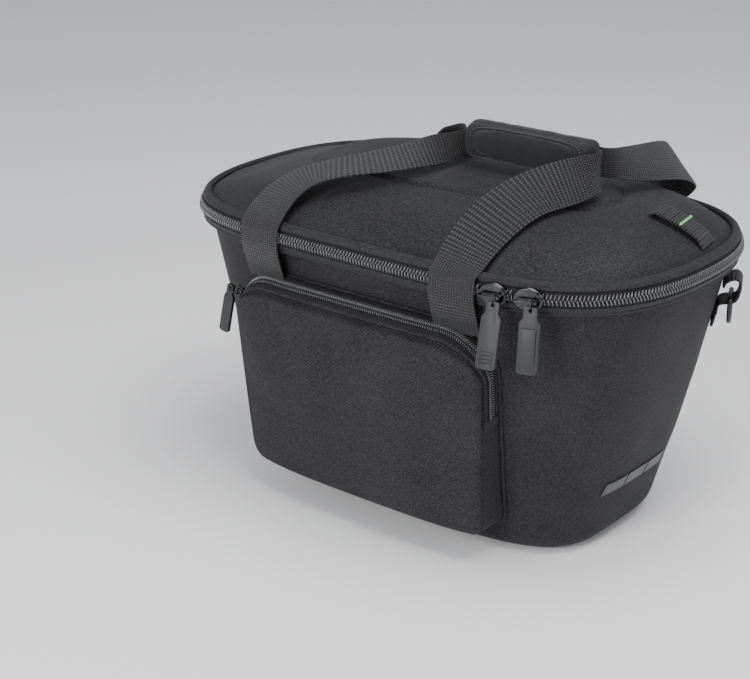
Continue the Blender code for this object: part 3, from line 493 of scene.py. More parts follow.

# Zip coil: two nylon coils whose loops mesh along the middle line, on a woven tape whose
# near-black colour is painted shade in the gaps between the loops.
# Each loop is a slanted bar, and the loops of the two sides stand half a pitch apart.
COIL_PITCH = 0.0028
COIL_WIDTH = 0.0082
coil_backing = [(outset, half_coil * rise) for outset, rise in (
    (0.0004, -1.0), (0.0009, -0.3), (0.0, 0.4), (-0.0014, 1.0), (-0.0034, 0.9), (-0.0024, 0.0),
    (-0.0014, -0.9))]
# The backing is painted near black, darker than the zip tape: painted shade between the coil loops.
backing_painted_shade_finish = tape_finish("coil_backing", (0.0015, 0.0015, 0.0015), (0.005, 0.005, 0.005))
rim_band("coil_tape", coil_backing, backing_painted_shade_finish, (), "zip_tape")
# The black nylon loops are painted a lighter grey than the tape: painted highlight, with random tone from
# the spots.
coil_finish = speckled_finish("nylon_coil", 0.22, 0.9, 0.004, (0.036, 0.036, 0.040),
                              (0.085, 0.085, 0.092))


def coil_loop(number, middle, across, along, face, pitch, width):
    """One loop of a coil, slanted along the zip and on each side of its middle line by turns."""
    side = 1 if number % 2 else -1
    bar = (across * side + along * 0.35).normalized()
    middle = middle + across * side * width * 0.215
    return bar_frame(middle, bar * width * 0.29, bar.cross(face) * pitch * 0.27, face * pitch * 0.42)


loop_frames = []
for number, turn in enumerate(rim_turns(2 * round(rim_length / COIL_PITCH))):
    flat = outward(rim_oval, turn)
    up = Vector((-flat.x * 0.2, -flat.y * 0.2, 1)).normalized()
    face = Vector((flat.x, flat.y, 0.2)).normalized()
    along = Vector((-flat.y, flat.x, 0))
    middle = rim_point(turn, 0.0009, 0.0)
    loop_frames.append(coil_loop(number, middle, up, along, face, COIL_PITCH, COIL_WIDTH))
made_piece("zip_teeth", beads(loop_frames, 2), coil_finish, "bag", ["zip_coil"], "zip_coil")

# Lid: a crowned skin of fine twill over foam, tucked in and sewn under the upper tape. A long
# oval panel in its middle stands up behind a sewn edge, less on its near side.
LID_FOOT = 0.0036
LID_CROWN = 0.0295
LID_CROWN_POWER = 3.17
LID_REAR_RISE = 0.029
LID_RISE_FADE = 12
PANEL_LENGTH = 0.256
PANEL_WIDTH = 0.100
PANEL_RISE = 0.0062
PANEL_NEAR_SHARE = 0.35
PANEL_SLOPE = 0.0035
PANEL_POWER = 2.6
PANEL_SPREAD = 1.15
LID_GROOVE = 0.0022
LID_GROOVE_START = 0.962
LID_TUCK = 0.0034
edge_inset = LID_INSET + TAPE_GAP


def crown_height(along, across):
    """Height of the lid's crown, without its raised panel."""
    u = abs(along) / (RIM_LENGTH / 2 - edge_inset)
    v = abs(across) / (RIM_WIDTH / 2 - edge_inset)
    reach = min((u ** 3 + v ** 3) ** (1 / 3), 1.0)
    foot = ZIP_HEIGHT + tape_high + LID_FOOT
    tilt = LID_REAR_RISE * along * (1 - reach ** LID_RISE_FADE)
    return foot + LID_CROWN * (1 - reach ** LID_CROWN_POWER) + tilt


def panel_share(along, across):
    """How far up the panel's slope a place is: 0 outside it and 1 on top."""
    reach = (abs(along / (PANEL_LENGTH / 2)) ** PANEL_POWER
             + abs(across / (PANEL_WIDTH / 2)) ** PANEL_POWER) ** (1 / PANEL_POWER)
    slope = PANEL_SLOPE / (PANEL_WIDTH / 2)
    return (1 + slope - reach) / slope


def lid_height(along, across):
    """Height of the lid's top, with the panel, its seam and the cloth's soft waves."""
    share = panel_share(along, across)
    seam = 0.0012 * math.exp(-(share / 0.25) ** 2)
    waves = 0.0010 * noise.noise(Vector((along * 14, across * 14, 0.3)))
    waves += 0.0006 * noise.noise(Vector((along * 38, across * 30, 0.9)))
    rise = PANEL_RISE * blend(PANEL_NEAR_SHARE, 1.0, smooth_step(across / PANEL_WIDTH + 0.5))
    return crown_height(along, across) + rise * smooth_step(share) - seam + waves


panel_rows = [(0, share) for share in (0.0, 0.15, 0.3, 0.45, 0.6, 0.72, 0.82, 0.9, 0.95, 0.98)]
slope_rows = [(1, step / 8) for step in range(9)]
crown_rows = [(2, (step / 40) ** 1.1) for step in range(1, 41)]
lid_rows = panel_rows + slope_rows + crown_rows + [(3, 1.0)]


def panel_oval(turn, slope_share):
    """A point round the raised panel, from the edge of its top to the foot of its slope."""
    extra = PANEL_SLOPE * slope_share * PANEL_SPREAD
    return oval(turn, PANEL_LENGTH / 2 + extra, PANEL_WIDTH / 2 + extra, PANEL_POWER, PANEL_POWER)


def lid_plan(turn, stretch, share):
    """Where a place of the lid lies seen from above: on the panel, its slope or the crown."""
    if stretch == 0:
        return panel_oval(turn, 0) * share
    if stretch == 1:
        return panel_oval(turn, share)
    edge = rim_oval(turn) - outward(rim_oval, turn) * edge_inset
    return blend(panel_oval(turn, 1), edge, share)


def lid_corner(column, row):
    """A corner of the lid, whose last row is tucked in under the upper tape."""
    stretch, share = lid_rows[row]
    turn = turns[column % ROUND]
    if stretch == 3:
        return rim_point(turn, LID_TUCK - edge_inset, tape_high + TAPE_GAP)
    flat = lid_plan(turn, stretch, share)
    height = lid_height(flat.x, flat.y)
    if stretch == 2:
        height -= LID_GROOVE * smooth_step((share - LID_GROOVE_START) / (1 - LID_GROOVE_START))
    return Vector((flat.x, flat.y, height))


lid_finish = cloth_finish("lid_twill", (0.66, 0.26, 0.04), [(0.0018, 40, 0.07), (0.0012, -50, 0.06)],
                          (0.0014, 2.0, 0.87), 0.0005, (0.003, 0.003, 0.0035), (0.026, 0.026, 0.030),
                          0.39, 0.62, patches=0.05, slope=35)
lid = made_piece("lid_skin", shaped_grid(ROUND, len(lid_rows) - 1, lid_corner, rim_length, 0.15),
                 lid_finish, "bag", ["lid"], "lid_fabric")
thickened(lid, "foam", 0.0026)

# Pocket: a panel of the same twill on a gusset that slopes over the top, sewn round its front
# edge with a rolled seam and to the tub's near wall behind. The panel is soft, with dents.
POCKET_TOP_WIDTH = 0.236
POCKET_BOTTOM_WIDTH = 0.2275
POCKET_BOTTOM_SHIFT = -0.006
POCKET_TOP = ZIP_HEIGHT - 0.033
POCKET_BOTTOM = 0.026
POCKET_DEPTH = 0.021
POCKET_FOOT_DEPTH = 0.0345
POCKET_ROLL = 0.0032
POCKET_TOP_DROP = 0.0142
POCKET_CREST = 0.2
POCKET_SEAT = 0.0003
POCKET_CORNERS = [(POCKET_BOTTOM_SHIFT - POCKET_BOTTOM_WIDTH / 2, POCKET_BOTTOM, 0.014),
                  (POCKET_BOTTOM_SHIFT + POCKET_BOTTOM_WIDTH / 2, POCKET_BOTTOM, 0.007),
                  (POCKET_TOP_WIDTH / 2, POCKET_TOP, 0.036), (-POCKET_TOP_WIDTH / 2, POCKET_TOP, 0.034)]


def directions(places):
    """The direction along a line of places, at each of them."""
    last = len(places) - 1
    return [(places[min(index + 1, last)] - places[max(index - 1, 0)]).normalized()
            for index in range(len(places))]


def rounded_outline(corners):
    """A closed line of straight runs and round corners, each corner an (along, height, radius)."""
    line = []
    for index, (along, height, radius) in enumerate(corners):
        here = Vector((along, height))
        back = (Vector(corners[index - 1][:2]) - here).normalized()
        ahead = (Vector(corners[(index + 1) % len(corners)][:2]) - here).normalized()
        half_angle = back.angle(ahead) / 2
        middle = here + (back + ahead).normalized() * radius / math.sin(half_angle)
        start = here + back * radius / math.tan(half_angle) - middle
        end = here + ahead * radius / math.tan(half_angle) - middle
        line += [middle + blend(start, end, step / 12).normalized() * radius for step in range(13)]
    return line + [line[0]]


def pocket_depth(height):
    """How far the pocket's panel stands off the wall: more near the base, where that draws back."""
    return blend(POCKET_FOOT_DEPTH, POCKET_DEPTH, height / POCKET_TOP)


def off_wall(along, height, off):
    """A place near the tub's near wall, at a distance out of it."""
    return Vector((along, -wall_reach(along, height) - off, height))


def pocket_swell(along, height, reach):
    """Puff, dents and folds of the pocket's panel. Reach is 0 in its middle and 1 at its seam."""
    puff = 0.0032 * (1 - reach ** 3)
    for dent_along, dent_height, size, depth in (
            (-0.072, 0.150, 0.014, 0.0046), (-0.022, 0.148, 0.017, 0.0046),
            (0.052, 0.138, 0.020, 0.0030), (-0.085, 0.074, 0.026, 0.0024)):
        near = ((along - dent_along) ** 2 + (height - dent_height) ** 2) / size ** 2
        puff -= depth * math.exp(-near)
    folds = 0.0026 * noise.noise(Vector((along * 16, 1.7, height * 13)))
    folds += 0.0006 * noise.noise(Vector((along * 45, 0.4, height * 40)))
    return puff + folds * (1 - reach ** 4)


POCKET_ROUND = 260
pocket_line = evenly(rounded_outline(POCKET_CORNERS), POCKET_ROUND + 1)
pocket_middle = (POCKET_TOP + POCKET_BOTTOM) / 2
front_shares = [0.0, 0.12, 0.24, 0.36, 0.47, 0.57, 0.66, 0.74, 0.81, 0.87, 0.91, 0.94, 0.965, 0.985, 1.0]
seam_angles = [12, 26, 42, 58, 74, 90]
pocket_rows = ([("panel", share) for share in front_shares] + [("seam", angle) for angle in seam_angles]
               + [("gusset", (step / 20) ** 1.2) for step in range(1, 21)])


def gusset_drop(out):
    """How far the gusset's front edge lies inside its back edge: it slopes over the top alone."""
    return POCKET_TOP_DROP * smooth_step(out.y)


def pocket_skin(place, out, depth_share, lift=0.0):
    """A place on the gusset by its share of the depth, from 0 at the wall to 1, and its normal."""
    depth = pocket_depth(place.y)
    slope = math.atan2(gusset_drop(out), depth * (1 - POCKET_CREST))
    flat = place - out * gusset_drop(out) * abs(depth_share - POCKET_CREST) / (1 - POCKET_CREST)
    normal = Vector((out.x * math.cos(slope), -math.sin(slope), out.y * math.cos(slope)))
    return off_wall(flat.x, flat.y, depth * depth_share + POCKET_SEAT) + normal * lift, normal


def pocket_corner(column, row):
    place = pocket_line[column % POCKET_ROUND]
    ahead = pocket_line[(column + 1) % POCKET_ROUND] - pocket_line[(column - 1) % POCKET_ROUND]
    out = Vector((ahead.y, -ahead.x)).normalized()
    stretch, amount = pocket_rows[row]
    if stretch == "gusset":
        groove = 0.0013 * math.exp(-((amount - 0.06) / 0.07) ** 2)
        depth_share = (1 - POCKET_ROLL / pocket_depth(place.y)) * (1 - amount)
        return pocket_skin(place, out, depth_share, -groove)[0]
    edge = place - out * (gusset_drop(out) + POCKET_ROLL)
    if stretch == "seam":
        angle = math.radians(amount)
        flat = edge + out * POCKET_ROLL * math.sin(angle)
        back = POCKET_ROLL * (1 - math.cos(angle))
        return off_wall(flat.x, flat.y, pocket_depth(flat.y) + POCKET_SEAT - back)
    along = edge.x * amount
    height = blend(pocket_middle, edge.y, amount)
    swell = pocket_swell(along, height, amount)
    return off_wall(along, height, pocket_depth(height) + POCKET_SEAT + swell)


pocket_shape = shaped_grid(POCKET_ROUND, len(pocket_rows) - 1, pocket_corner, 0.80, 0.16)
pocket_cut = pocket_shape.loops.layers.uv["cloth"]
for face in pocket_shape.faces:
    for loop in face.loops:
        x, y, z = loop.vert.co
        loop[pocket_cut].uv = (x - y * 0.7, z - y)
pocket = made_piece("pocket_panel", pocket_shape, tub_finish, "bag", ["pocket"], "bag_fabric")
thickened(pocket, "wall", 0.0012)

# Pocket zip: a smaller coil on its tape, from the left corner along the sloping top and down the
# right side, nearer the wall than the panel and between two rolled edges of cloth.
POCKET_COIL_PITCH = 0.0022
POCKET_COIL_WIDTH = 0.0086
ZIP_STEPS = 170
ZIP_LENGTH = 0.36
ZIP_SHARE = 0.45
ZIP_LEFT_END = POCKET_TOP - 0.040
ZIP_RIGHT_END = POCKET_TOP - 0.071
ROUND_OUTLINE = [(math.cos(math.pi * step / 5), math.sin(math.pi * step / 5)) for step in range(10)]
FLAT_OUTLINE = ([(-1 + step / 4, -1 if 0 < step < 8 else -0.55) for step in range(9)]
                + [(1 - step / 4, 1 if 0 < step < 8 else 0.55) for step in range(9)])


def swept(places, wides, talls, outline, closed=False):
    """A band or cord: an outline, in shares of its width and thickness, carried along places."""
    if not closed:
        nothing = Vector((0, 0, 0))
        places = [places[0], *places, places[-1]]
        wides = [nothing, *wides, nothing]
        talls = [nothing, *talls, nothing]
    count = len(places)

    def corner(column, row):
        across, off = outline[row % len(outline)]
        return places[column % count] + wides[column % count] * across + talls[column % count] * off
    length = sum((end - start).length for start, end in zip(places, places[1:]))
    girth = 4 * max(wide.length for wide in wides)
    return shaped_grid(count if closed else count - 1, len(outline), corner, length, girth)


def zip_route(count):
    """Even places on the pocket's edge, from the zip's left end to its right end, with their out."""
    fine = [place for place in reversed(pocket_line[:-1])
            if place.y > (ZIP_RIGHT_END if place.x > 0 else ZIP_LEFT_END)]
    points = evenly(fine, count)
    return [(here, Vector((-ahead.y, ahead.x))) for here, ahead in zip(points, directions(points))]


def zip_spot(place, out, across, lift):
    """A place on the pocket zip, from its distance across to the front, and its normal."""
    return pocket_skin(place, out, ZIP_SHARE + across / pocket_depth(place.y), lift)


def zip_band(name, across, lift, half_width, half_thickness, outline, finish, **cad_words):
    """A band along the pocket zip, closed at its ends, at a distance across and a lift."""
    route = zip_route(ZIP_STEPS)

    def corner(column, row):
        offset, off = outline[row % len(outline)]
        size = 0.0 if column in (0, ZIP_STEPS + 1) else 1.0
        place, out = route[min(max(column - 1, 0), ZIP_STEPS - 1)]
        return zip_spot(place, out, across + offset * half_width * size,
                        lift + off * half_thickness * size)[0]
    shape = shaped_grid(ZIP_STEPS + 1, len(outline), corner, 0.38, half_width * 4)
    return made_piece(name, shape, finish, "bag", **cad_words)


def zip_line(count, across, lift):
    """Places in a row along the pocket zip, with the direction along it and the normal of each."""
    spots = [zip_spot(place, out, across, lift) for place, out in zip_route(count)]
    alongs = directions([spot for spot, normal in spots])
    return [(spot, along, (normal - along * normal.dot(along)).normalized())
            for (spot, normal), along in zip(spots, alongs)]


# The pocket zip's tape takes the same near-black backing: painted shade between its coil loops.
zip_band("pocket_zip_tape", 0.0, 0.0006, 0.0056, 0.0005, FLAT_OUTLINE, backing_painted_shade_finish,
         stands_for=["pocket_zip"], slot="zip_coil")
zip_band("pocket_zip_front_edge", 0.0064, 0.0005, 0.0013, 0.0012, ROUND_OUTLINE, tub_finish)
zip_band("pocket_zip_back_edge", -0.0063, 0.0005, 0.0013, 0.0013, ROUND_OUTLINE, tub_finish)
end_place, end_along, end_normal = zip_line(ZIP_STEPS, 0.0, 0.0010)[-1]
end_across = end_along.cross(end_normal)
made_piece("pocket_zip_end", swept([end_place - end_along * 0.0035, end_place + end_along * 0.0025],
                                   [end_across * 0.0080] * 2, [end_normal * 0.0012] * 2, FLAT_OUTLINE),
           tub_finish, "bag")
loop_line = zip_line(2 * round(ZIP_LENGTH / POCKET_COIL_PITCH), 0.0, 0.0016)
pocket_loops = [coil_loop(number, spot, normal.cross(along), along, normal,
                          POCKET_COIL_PITCH, POCKET_COIL_WIDTH)
                for number, (spot, along, normal) in enumerate(loop_line)]
# The pocket coil's loops carry the same painted highlight in their lighter grey.
made_piece("pocket_zip_teeth", beads(pocket_loops, 1), coil_finish, "bag")
welt_corners = [(x * 1.012, y + (0.0012 if y > pocket_middle else 0), r) for x, y, r in POCKET_CORNERS]
welt_line = evenly(rounded_outline(welt_corners), 241)[:-1]
welt_places = [off_wall(place.x, place.y, 0.0012 + wall_swell(Vector((place.x, -0.1, place.y))))
               for place in welt_line]
welt_outs = [Vector((place.x, 0, place.y - pocket_middle)).normalized() for place in welt_line]
made_piece("pocket_welt", swept(welt_places, [out * 0.0016 for out in welt_outs],
                                [Vector((0, -0.0015, 0))] * len(welt_places), ROUND_OUTLINE, closed=True),
           tub_finish, "bag")
stitches("pocket_stitches", zip_line(116, 0.0086, 0.0002), 0.0021, STITCH_THICKNESS, thread_finish)

# Handles: two loops of 38 mm ribbed webbing. Each leg is sewn to the wall and runs over the zip,
# and the loops meet in the grip, where they are folded on edge. The columns of each table are the
# shares along, across and up between leg and grip, the width's turn and lean, and its share.
WEBBING_WIDTH = 0.038
WEBBING_THICKNESS = 0.002
HANDLE_SPACING = 0.180
NEAR_FOOT = POCKET_TOP - 0.0040
FAR_FOOT = ZIP_HEIGHT - 0.113
GRIP_START = 0.008
GRIP_LENGTH = 0.109
GRIP_HEIGHT = 0.028
GRIP_DEPTH = 0.023
GRIP_WALL = 0.0025
GRIP_CENTRE_HEIGHT = ZIP_HEIGHT + LID_CROWN + 0.0345
HANDLE_LIE_HEIGHT = GRIP_CENTRE_HEIGHT - 0.002
BAND_HUG = ((0.0036, 0), (0.0034, 0), (0.0026, 0))
BAND_LEAVE = ((0.0044, 0), (0.0080, -6), (0.0125, -16))
NEAR_LEFT = [
    (0.00, 0.965, 0.235, -5, 0, 1.0),
    (0.00, 0.900, 0.34, -8, 0, 1.0),
    (0.02, 0.815, 0.46, -13, 0, 1.0),
    (0.09, 0.720, 0.58, -21, 0, 1.0),
    (0.21, 0.630, 0.67, -30, -2, 1.0),
    (0.40, 0.520, 0.75, -40, -6, 1.0),
    (0.57, 0.400, 0.80, -45, -12, 1.0),
    (0.71, 0.290, 0.855, -48, -20, 0.88),
    (0.82, 0.180, 0.90, -55, -42, 0.68),
    (0.88, 0.090, 0.93, -72, -70, 0.53),
    (0.935, 0.036, 0.970, -86, -88, 0.46),
]
NEAR_RIGHT = [
    (0.02, 0.965, 0.20, 0, -8, 1.0),
    (0.07, 0.880, 0.37, 0, -18, 1.0),
    (0.18, 0.750, 0.57, -2, -28, 1.0),
    (0.28, 0.560, 0.72, -10, -30, 1.0),
    (0.46, 0.400, 0.80, -14, -34, 1.0),
    (0.80, 0.275, 0.86, -14, -44, 0.95),
    (1.16, 0.180, 0.92, -20, -58, 0.85),
    (1.36, 0.110, 0.97, -40, -74, 0.75),
    (1.36, 0.055, 1.00, -70, -84, 0.65),
    (1.20, 0.024, 1.03, -88, -90, 0.59),
]
FAR_LEFT = [
    (0.00, 0.975, 0.19, 0, 0, 1.0),
    (0.05, 0.860, 0.33, 8, -4, 1.0),
    (0.18, 0.700, 0.49, 25, -10, 1.0),
    (0.37, 0.540, 0.64, 38, -14, 1.0),
    (0.56, 0.390, 0.78, 46, -20, 1.0),
    (0.72, 0.270, 0.87, 52, -30, 0.85),
    (0.83, 0.160, 0.92, 62, -52, 0.66),
    (0.88, 0.080, 0.94, 76, -74, 0.53),
    (0.935, 0.036, 0.97, 86, -88, 0.46),
]
FAR_RIGHT = [
    (0.34, 1.120, 0.22, 0, -24, 1.0),
    (0.69, 1.110, 0.40, -4, -38, 1.0),
    (1.03, 0.930, 0.61, -10, -46, 0.94),
    (1.29, 0.680, 0.755, 0, -52, 0.88),
    (1.42, 0.420, 0.855, 16, -58, 0.78),
    (1.46, 0.230, 0.935, 30, -68, 0.68),
    (1.40, 0.110, 0.99, 60, -80, 0.60),
    (1.20, 0.036, 1.015, 88, -90, 0.57),
]


def handle_leg(side, end, foot, leave):
    """Rows up the wall and over the zip, from the foot of a leg."""
    along = HANDLE_SPACING / 2 * end
    half_width = WEBBING_WIDTH / 2 * end

    def wall_turn(height):
        fall = wall_reach(along - half_width, height) - wall_reach(along + half_width, height)
        return -side * end * math.degrees(math.atan2(fall, WEBBING_WIDTH))
    rows = []
    top = ZIP_HEIGHT - BAND_DROP - 0.008
    rim = wall_reach(along, ZIP_HEIGHT) + BAND_OVERHANG
    for height in (foot, blend(foot, top, 0.35), blend(foot, top, 0.7)):
        swell = wall_swell(Vector((along, side * wall_reach(along, height), height)))
        reach = wall_reach(along, height) + 0.0009 + WEBBING_THICKNESS / 2 + max(swell, 0.0)
        if rows:
            share = (height - foot) / (ZIP_HEIGHT - 0.010 - foot)
            reach = max(reach, blend(abs(rows[0][1]), rim + leave[0][0], share))
        elif side < 0:
            reach += 0.0045
        rows.append((along, side * reach, height, wall_turn(height), 0, 1.0))
    for rise, (outset, lean) in zip((-0.010, 0.0, 0.0075), leave):
        rows.append((along, side * (rim + outset), ZIP_HEIGHT + rise, wall_turn(ZIP_HEIGHT), lean, 1.0))
    return rows


def handle_lie(side, end, shares):
    """Rows of a handle's stretch over the lid, from its table of shares."""
    leg = HANDLE_SPACING / 2 * end
    grip_end = GRIP_START if end < 0 else GRIP_START + GRIP_LENGTH
    return [(blend(leg, grip_end, along), side * across * RIM_WIDTH / 2,
             blend(ZIP_HEIGHT, HANDLE_LIE_HEIGHT, rise), turn, lean, width)
            for along, across, rise, turn, lean, width in shares]


def grip_rows(side):
    """Rows through the grip, where the folded webbing stands on edge beside its twin."""
    across = side * (WEBBING_THICKNESS / 2 + 0.0009)
    width = (GRIP_HEIGHT - 2 * GRIP_WALL - 0.0012) / WEBBING_WIDTH
    stops = ((-0.02, 0.0020, 0.80), (0.04, 0.0006, 0.86), (0.3, 0.0, 1.0), (0.7, 0.0, 1.0),
             (0.97, 0.0, 1.0), (1.02, 0.0, 1.0))
    return [(GRIP_START + GRIP_LENGTH * share, across, GRIP_CENTRE_HEIGHT - drop, side * 90, -90,
             width * fold) for share, drop, fold in stops]


def webbing_rows(rows, steps):
    """Places, half widths and half thicknesses of webbing along a smooth line through rows."""
    rows = smooth_line(rows, steps)
    for _ in range(14):
        rows = ([rows[0]] + [[(a + 2 * b + c) / 4 for a, b, c in zip(*near)]
                             for near in zip(rows, rows[1:], rows[2:])] + [rows[-1]])
    places = [Vector(row[:3]) for row in rows]
    wides = []
    talls = []
    for (*_, turn, lean, width), along in zip(rows, directions(places)):
        turn = math.radians(turn)
        lean = math.radians(lean)
        wide = Vector((math.cos(turn) * math.cos(lean), math.sin(turn) * math.cos(lean), math.sin(lean)))
        wide = (wide - along * wide.dot(along)).normalized()
        wides.append(wide * (WEBBING_WIDTH / 2 * width))
        talls.append(along.cross(wide) * (WEBBING_THICKNESS / 2))
    return places, wides, talls


# The webbing's strong ribs carry the cloth's painted shade, dark between the ribs.
def webbing_finish(name, rib, row_pitch):
    """Webbing: strong ribs across its length, broken up by the threads that run along it."""
    return cloth_finish(name, (0.5, 0.38, 0.06), [(rib, 0, 0.42), (row_pitch, 90, 0.34)],
                        (0.0014, 2.0, 0.24), 0.0016, (0.001, 0.001, 0.001), (0.042, 0.042, 0.046),
                        0.43, 0.72)


webbing = webbing_finish("webbing", 0.0025, 0.0020)
for name, node, side, foot, left, right, right_leave in (
        ("near_handle", "handle_near", -1, NEAR_FOOT, NEAR_LEFT, NEAR_RIGHT, BAND_HUG),
        ("far_handle", "handle_far", 1, FAR_FOOT, FAR_LEFT, FAR_RIGHT, BAND_LEAVE)):
    up_left = handle_leg(side, -1, foot, BAND_HUG) + handle_lie(side, -1, left)
    up_right = handle_leg(side, 1, foot, right_leave) + handle_lie(side, 1, right)
    rows = up_left + grip_rows(side) + up_right[::-1]
    made_piece(name, swept(*webbing_rows(rows, 10), FLAT_OUTLINE), webbing, "bag", [node], "webbing")

# Grip: a padded sleeve of knitted neoprene wrapped round both handles and closed with a flap on
# top. A long oval pad stands up on its near face inside a sewn groove, with a row of stitches.
PAD_HALF_LENGTH = 0.42
PAD_MIDDLE = 176
PAD_HALF_ANGLE = 46
PAD_RISE = 0.0020
GRIP_ROUND = 72


def pad_reach(share, angle):
    """How far a place of the sleeve is from the pad's middle: 1 at the pad's edge."""
    u = abs(share - 0.5) / PAD_HALF_LENGTH
    v = abs(angle - PAD_MIDDLE) / PAD_HALF_ANGLE
    return (u ** 3.2 + v ** 3.2) ** (1 / 3.2)


def grip_point(share, angle, size=1.0, off=0.0):
    """A point on the sleeve, from its share along and its angle round: 90 is on top, 180 near."""
    round_place = oval(math.radians(angle), GRIP_DEPTH / 2, GRIP_HEIGHT / 2, 3.0, 3.0) * size
    reach = pad_reach(share, angle)
    lift = PAD_RISE * smooth_step((1.02 - reach) / 0.22) - 0.0008 * math.exp(-((reach - 1.04) / 0.06) ** 2)
    lift += 0.0014 * smooth_step((98 - angle) / 6) * smooth_step((angle + 20) / 20)
    turn = math.radians(angle)
    lift += 0.0006 * noise.noise(Vector((share * 9, math.cos(turn), math.sin(turn))))
    out = Vector((0, round_place.x, round_place.y)).normalized()
    place = Vector((GRIP_START + GRIP_LENGTH * share, round_place.x, GRIP_CENTRE_HEIGHT + round_place.y))
    return place + out * (lift * size ** 4 - 0.0006 + off)


grip_ends = [(0.012, 0.0), (0.0, 0.0), (-0.004, 0.55), (-0.004, 0.72), (0.004, 0.86), (0.016, 0.94),
             (0.034, 0.985)]
grip_stations = (grip_ends + [(0.055 + 0.89 * step / 80, 1.0) for step in range(81)]
                 + [(1 - share, size) for share, size in reversed(grip_ends)])


def grip_corner(column, row):
    share, size = grip_stations[column]
    angle = (360 * (row % GRIP_ROUND) / GRIP_ROUND) - 20
    if size == 0.0:
        slot = oval(math.radians(angle), WEBBING_THICKNESS + 0.0018, GRIP_HEIGHT / 2 - GRIP_WALL, 8.0, 8.0)
        return Vector((GRIP_START + GRIP_LENGTH * share, slot.x, GRIP_CENTRE_HEIGHT + slot.y))
    return grip_point(share, angle, size)


knit_finish = cloth_finish("neoprene", (0.85, 0.2, 0.14), [(0.0008, 30, 0.4)], (0.0012, 3.0, 0.6), 0.00016,
                           (0.007, 0.007, 0.009), (0.022, 0.022, 0.027), 0.25, 0.75)
grip_shape = shaped_grid(len(grip_stations) - 1, GRIP_ROUND, grip_corner, GRIP_LENGTH, 0.085)
grip = made_piece("grip_sleeve", grip_shape, knit_finish, "bag", ["grip"], "grip_padding")
pale_thread = speckled_finish("grip_thread", 0.5, 0.4, 0.0006, (0.040, 0.040, 0.045),
                              (0.095, 0.095, 0.104))
pad_line = []
for step in range(121):
    turn = math.radians(180 * step / 120)
    place = oval(turn, PAD_HALF_LENGTH * 1.07, PAD_HALF_ANGLE * 1.30, 3.2, 3.2)
    pad_line.append(grip_point(0.5 + place.x, PAD_MIDDLE - place.y, 1.0, 0.0002))
pad_places = evenly(pad_line, 46)
pad_stitches = [(here, (there - here).normalized(),
                 Vector((0, here.y, here.z - GRIP_CENTRE_HEIGHT)).normalized())
                for here, there in zip(pad_places, pad_places[1:])]
stitches("grip_stitches", pad_stitches, 0.0020, 0.0010, pale_thread)

# Zip sliders and pulls: cast sliders in dark nickel plate with a bridge, wire links and moulded
# grey rubber pulls. The two main pulls swing on their bridges, and the pocket's hangs still.


def rounded_edges(shape, edges, width, segments):
    """Rounds edges of a shape over a width."""
    bmesh.ops.bevel(shape, geom=edges, offset=width, offset_type="OFFSET", segments=segments, profile=0.5,
                    affect="EDGES", material=-1, clamp_overlap=True)


def rounded_copy(node, width, sharp=30):
    """A copy of a solid of the frame as one skin, with its edges rounded."""
    shape = bmesh.new()
    shape.from_mesh(frame["nodes"][node].data)
    bmesh.ops.remove_doubles(shape, verts=shape.verts, dist=0.00001)
    bmesh.ops.dissolve_limit(shape, angle_limit=math.radians(2), verts=shape.verts, edges=shape.edges)
    if width:
        edges = [edge for edge in shape.edges
                 if edge.is_manifold and edge.calc_face_angle() > math.radians(sharp)]
        rounded_edges(shape, edges, width, 3)
    return shape


def rounded_off(piece):
    """Makes a faceted wire or ring round."""
    smooth = piece.modifiers.new("round", "SUBSURF")
    smooth.levels = 2
    smooth.render_levels = 2


metal = speckled_finish("dark_nickel", 0.20, 0.5, 0.004, (0.030, 0.030, 0.032), (0.075, 0.075, 0.079),
                        4.0, 1.0, (0.0012, 0.00006))
rubber = speckled_finish("grey_rubber", 0.5, 0.4, 0.006, (0.015, 0.0165, 0.0195), (0.027, 0.029, 0.034),
                         4.0, 0.0, (0.0005, 0.00006))
sliders = ("slider_1", "slider_2", "pocket_slider")
for node in (*sliders, *(slider + "_bridge" for slider in sliders)):
    made_piece(node + "_cast", rounded_copy(node, 0.0003, 25), metal, "bag", [node], "slider_metal")
for node, body in (("pull_1_link", "first_pull"), ("pull_2_link", "second_pull"),
                   ("pocket_pull_link", "bag")):
    rounded_off(made_piece(node + "_cast", rounded_copy(node, 0), metal, body, [node], "slider_metal"))

PULL_LENGTH = 0.0445
PULL_THICKNESS = 0.0034
for node, body, lean, hinge in (("pull_1", "first_pull", 14, 0), ("pull_2", "second_pull", 8, 1)):
    shape = rounded_copy(node, 0.0006)
    low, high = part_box(node)
    middle = (low + high) / 2
    swing = Vector(frame["joints"][hinge]["axis"]).normalized()
    across = Vector((-swing.x, -swing.y, 0))
    out = Vector((across.y, -across.x, 0))
    if out.y > 0:
        out = -out
    hang = out * math.sin(math.radians(lean)) - Vector((0, 0, math.cos(math.radians(lean))))
    face = hang.cross(across)
    if face.dot(out) < 0:
        face = -face
    ridges = bmesh.new()
    if node == "pull_1":
        bars = [(PULL_LENGTH * (0.27 + 0.062 * number), 0.0049, 0.0007) for number in range(4)]
    else:
        bars = [(PULL_LENGTH * 0.10, 0.0050, 0.0130)]
    for place, half_width, half_height in bars:
        slab = bmesh.ops.create_cube(ridges, size=2.0)["verts"]
        columns = Matrix((across * half_width, hang * half_height, face * 0.0007)).transposed()
        spot = middle + hang * place + face * (PULL_THICKNESS / 2)
        bmesh.ops.transform(ridges, matrix=Matrix.Translation(spot) @ columns.to_4x4(), verts=slab)
    rounded_edges(ridges, ridges.edges[:], 0.0003, 2)
    bmesh.ops.recalc_face_normals(ridges, faces=ridges.faces)
    made_piece(node + "_rubber", shape, rubber, body, [node], "pull_rubber")
    made_piece(node + "_relief", ridges, rubber, body)
made_piece("pocket_pull_rubber", rounded_copy("pocket_pull", 0.0005), rubber, "bag", ["pocket_pull"],
           "pull_rubber")

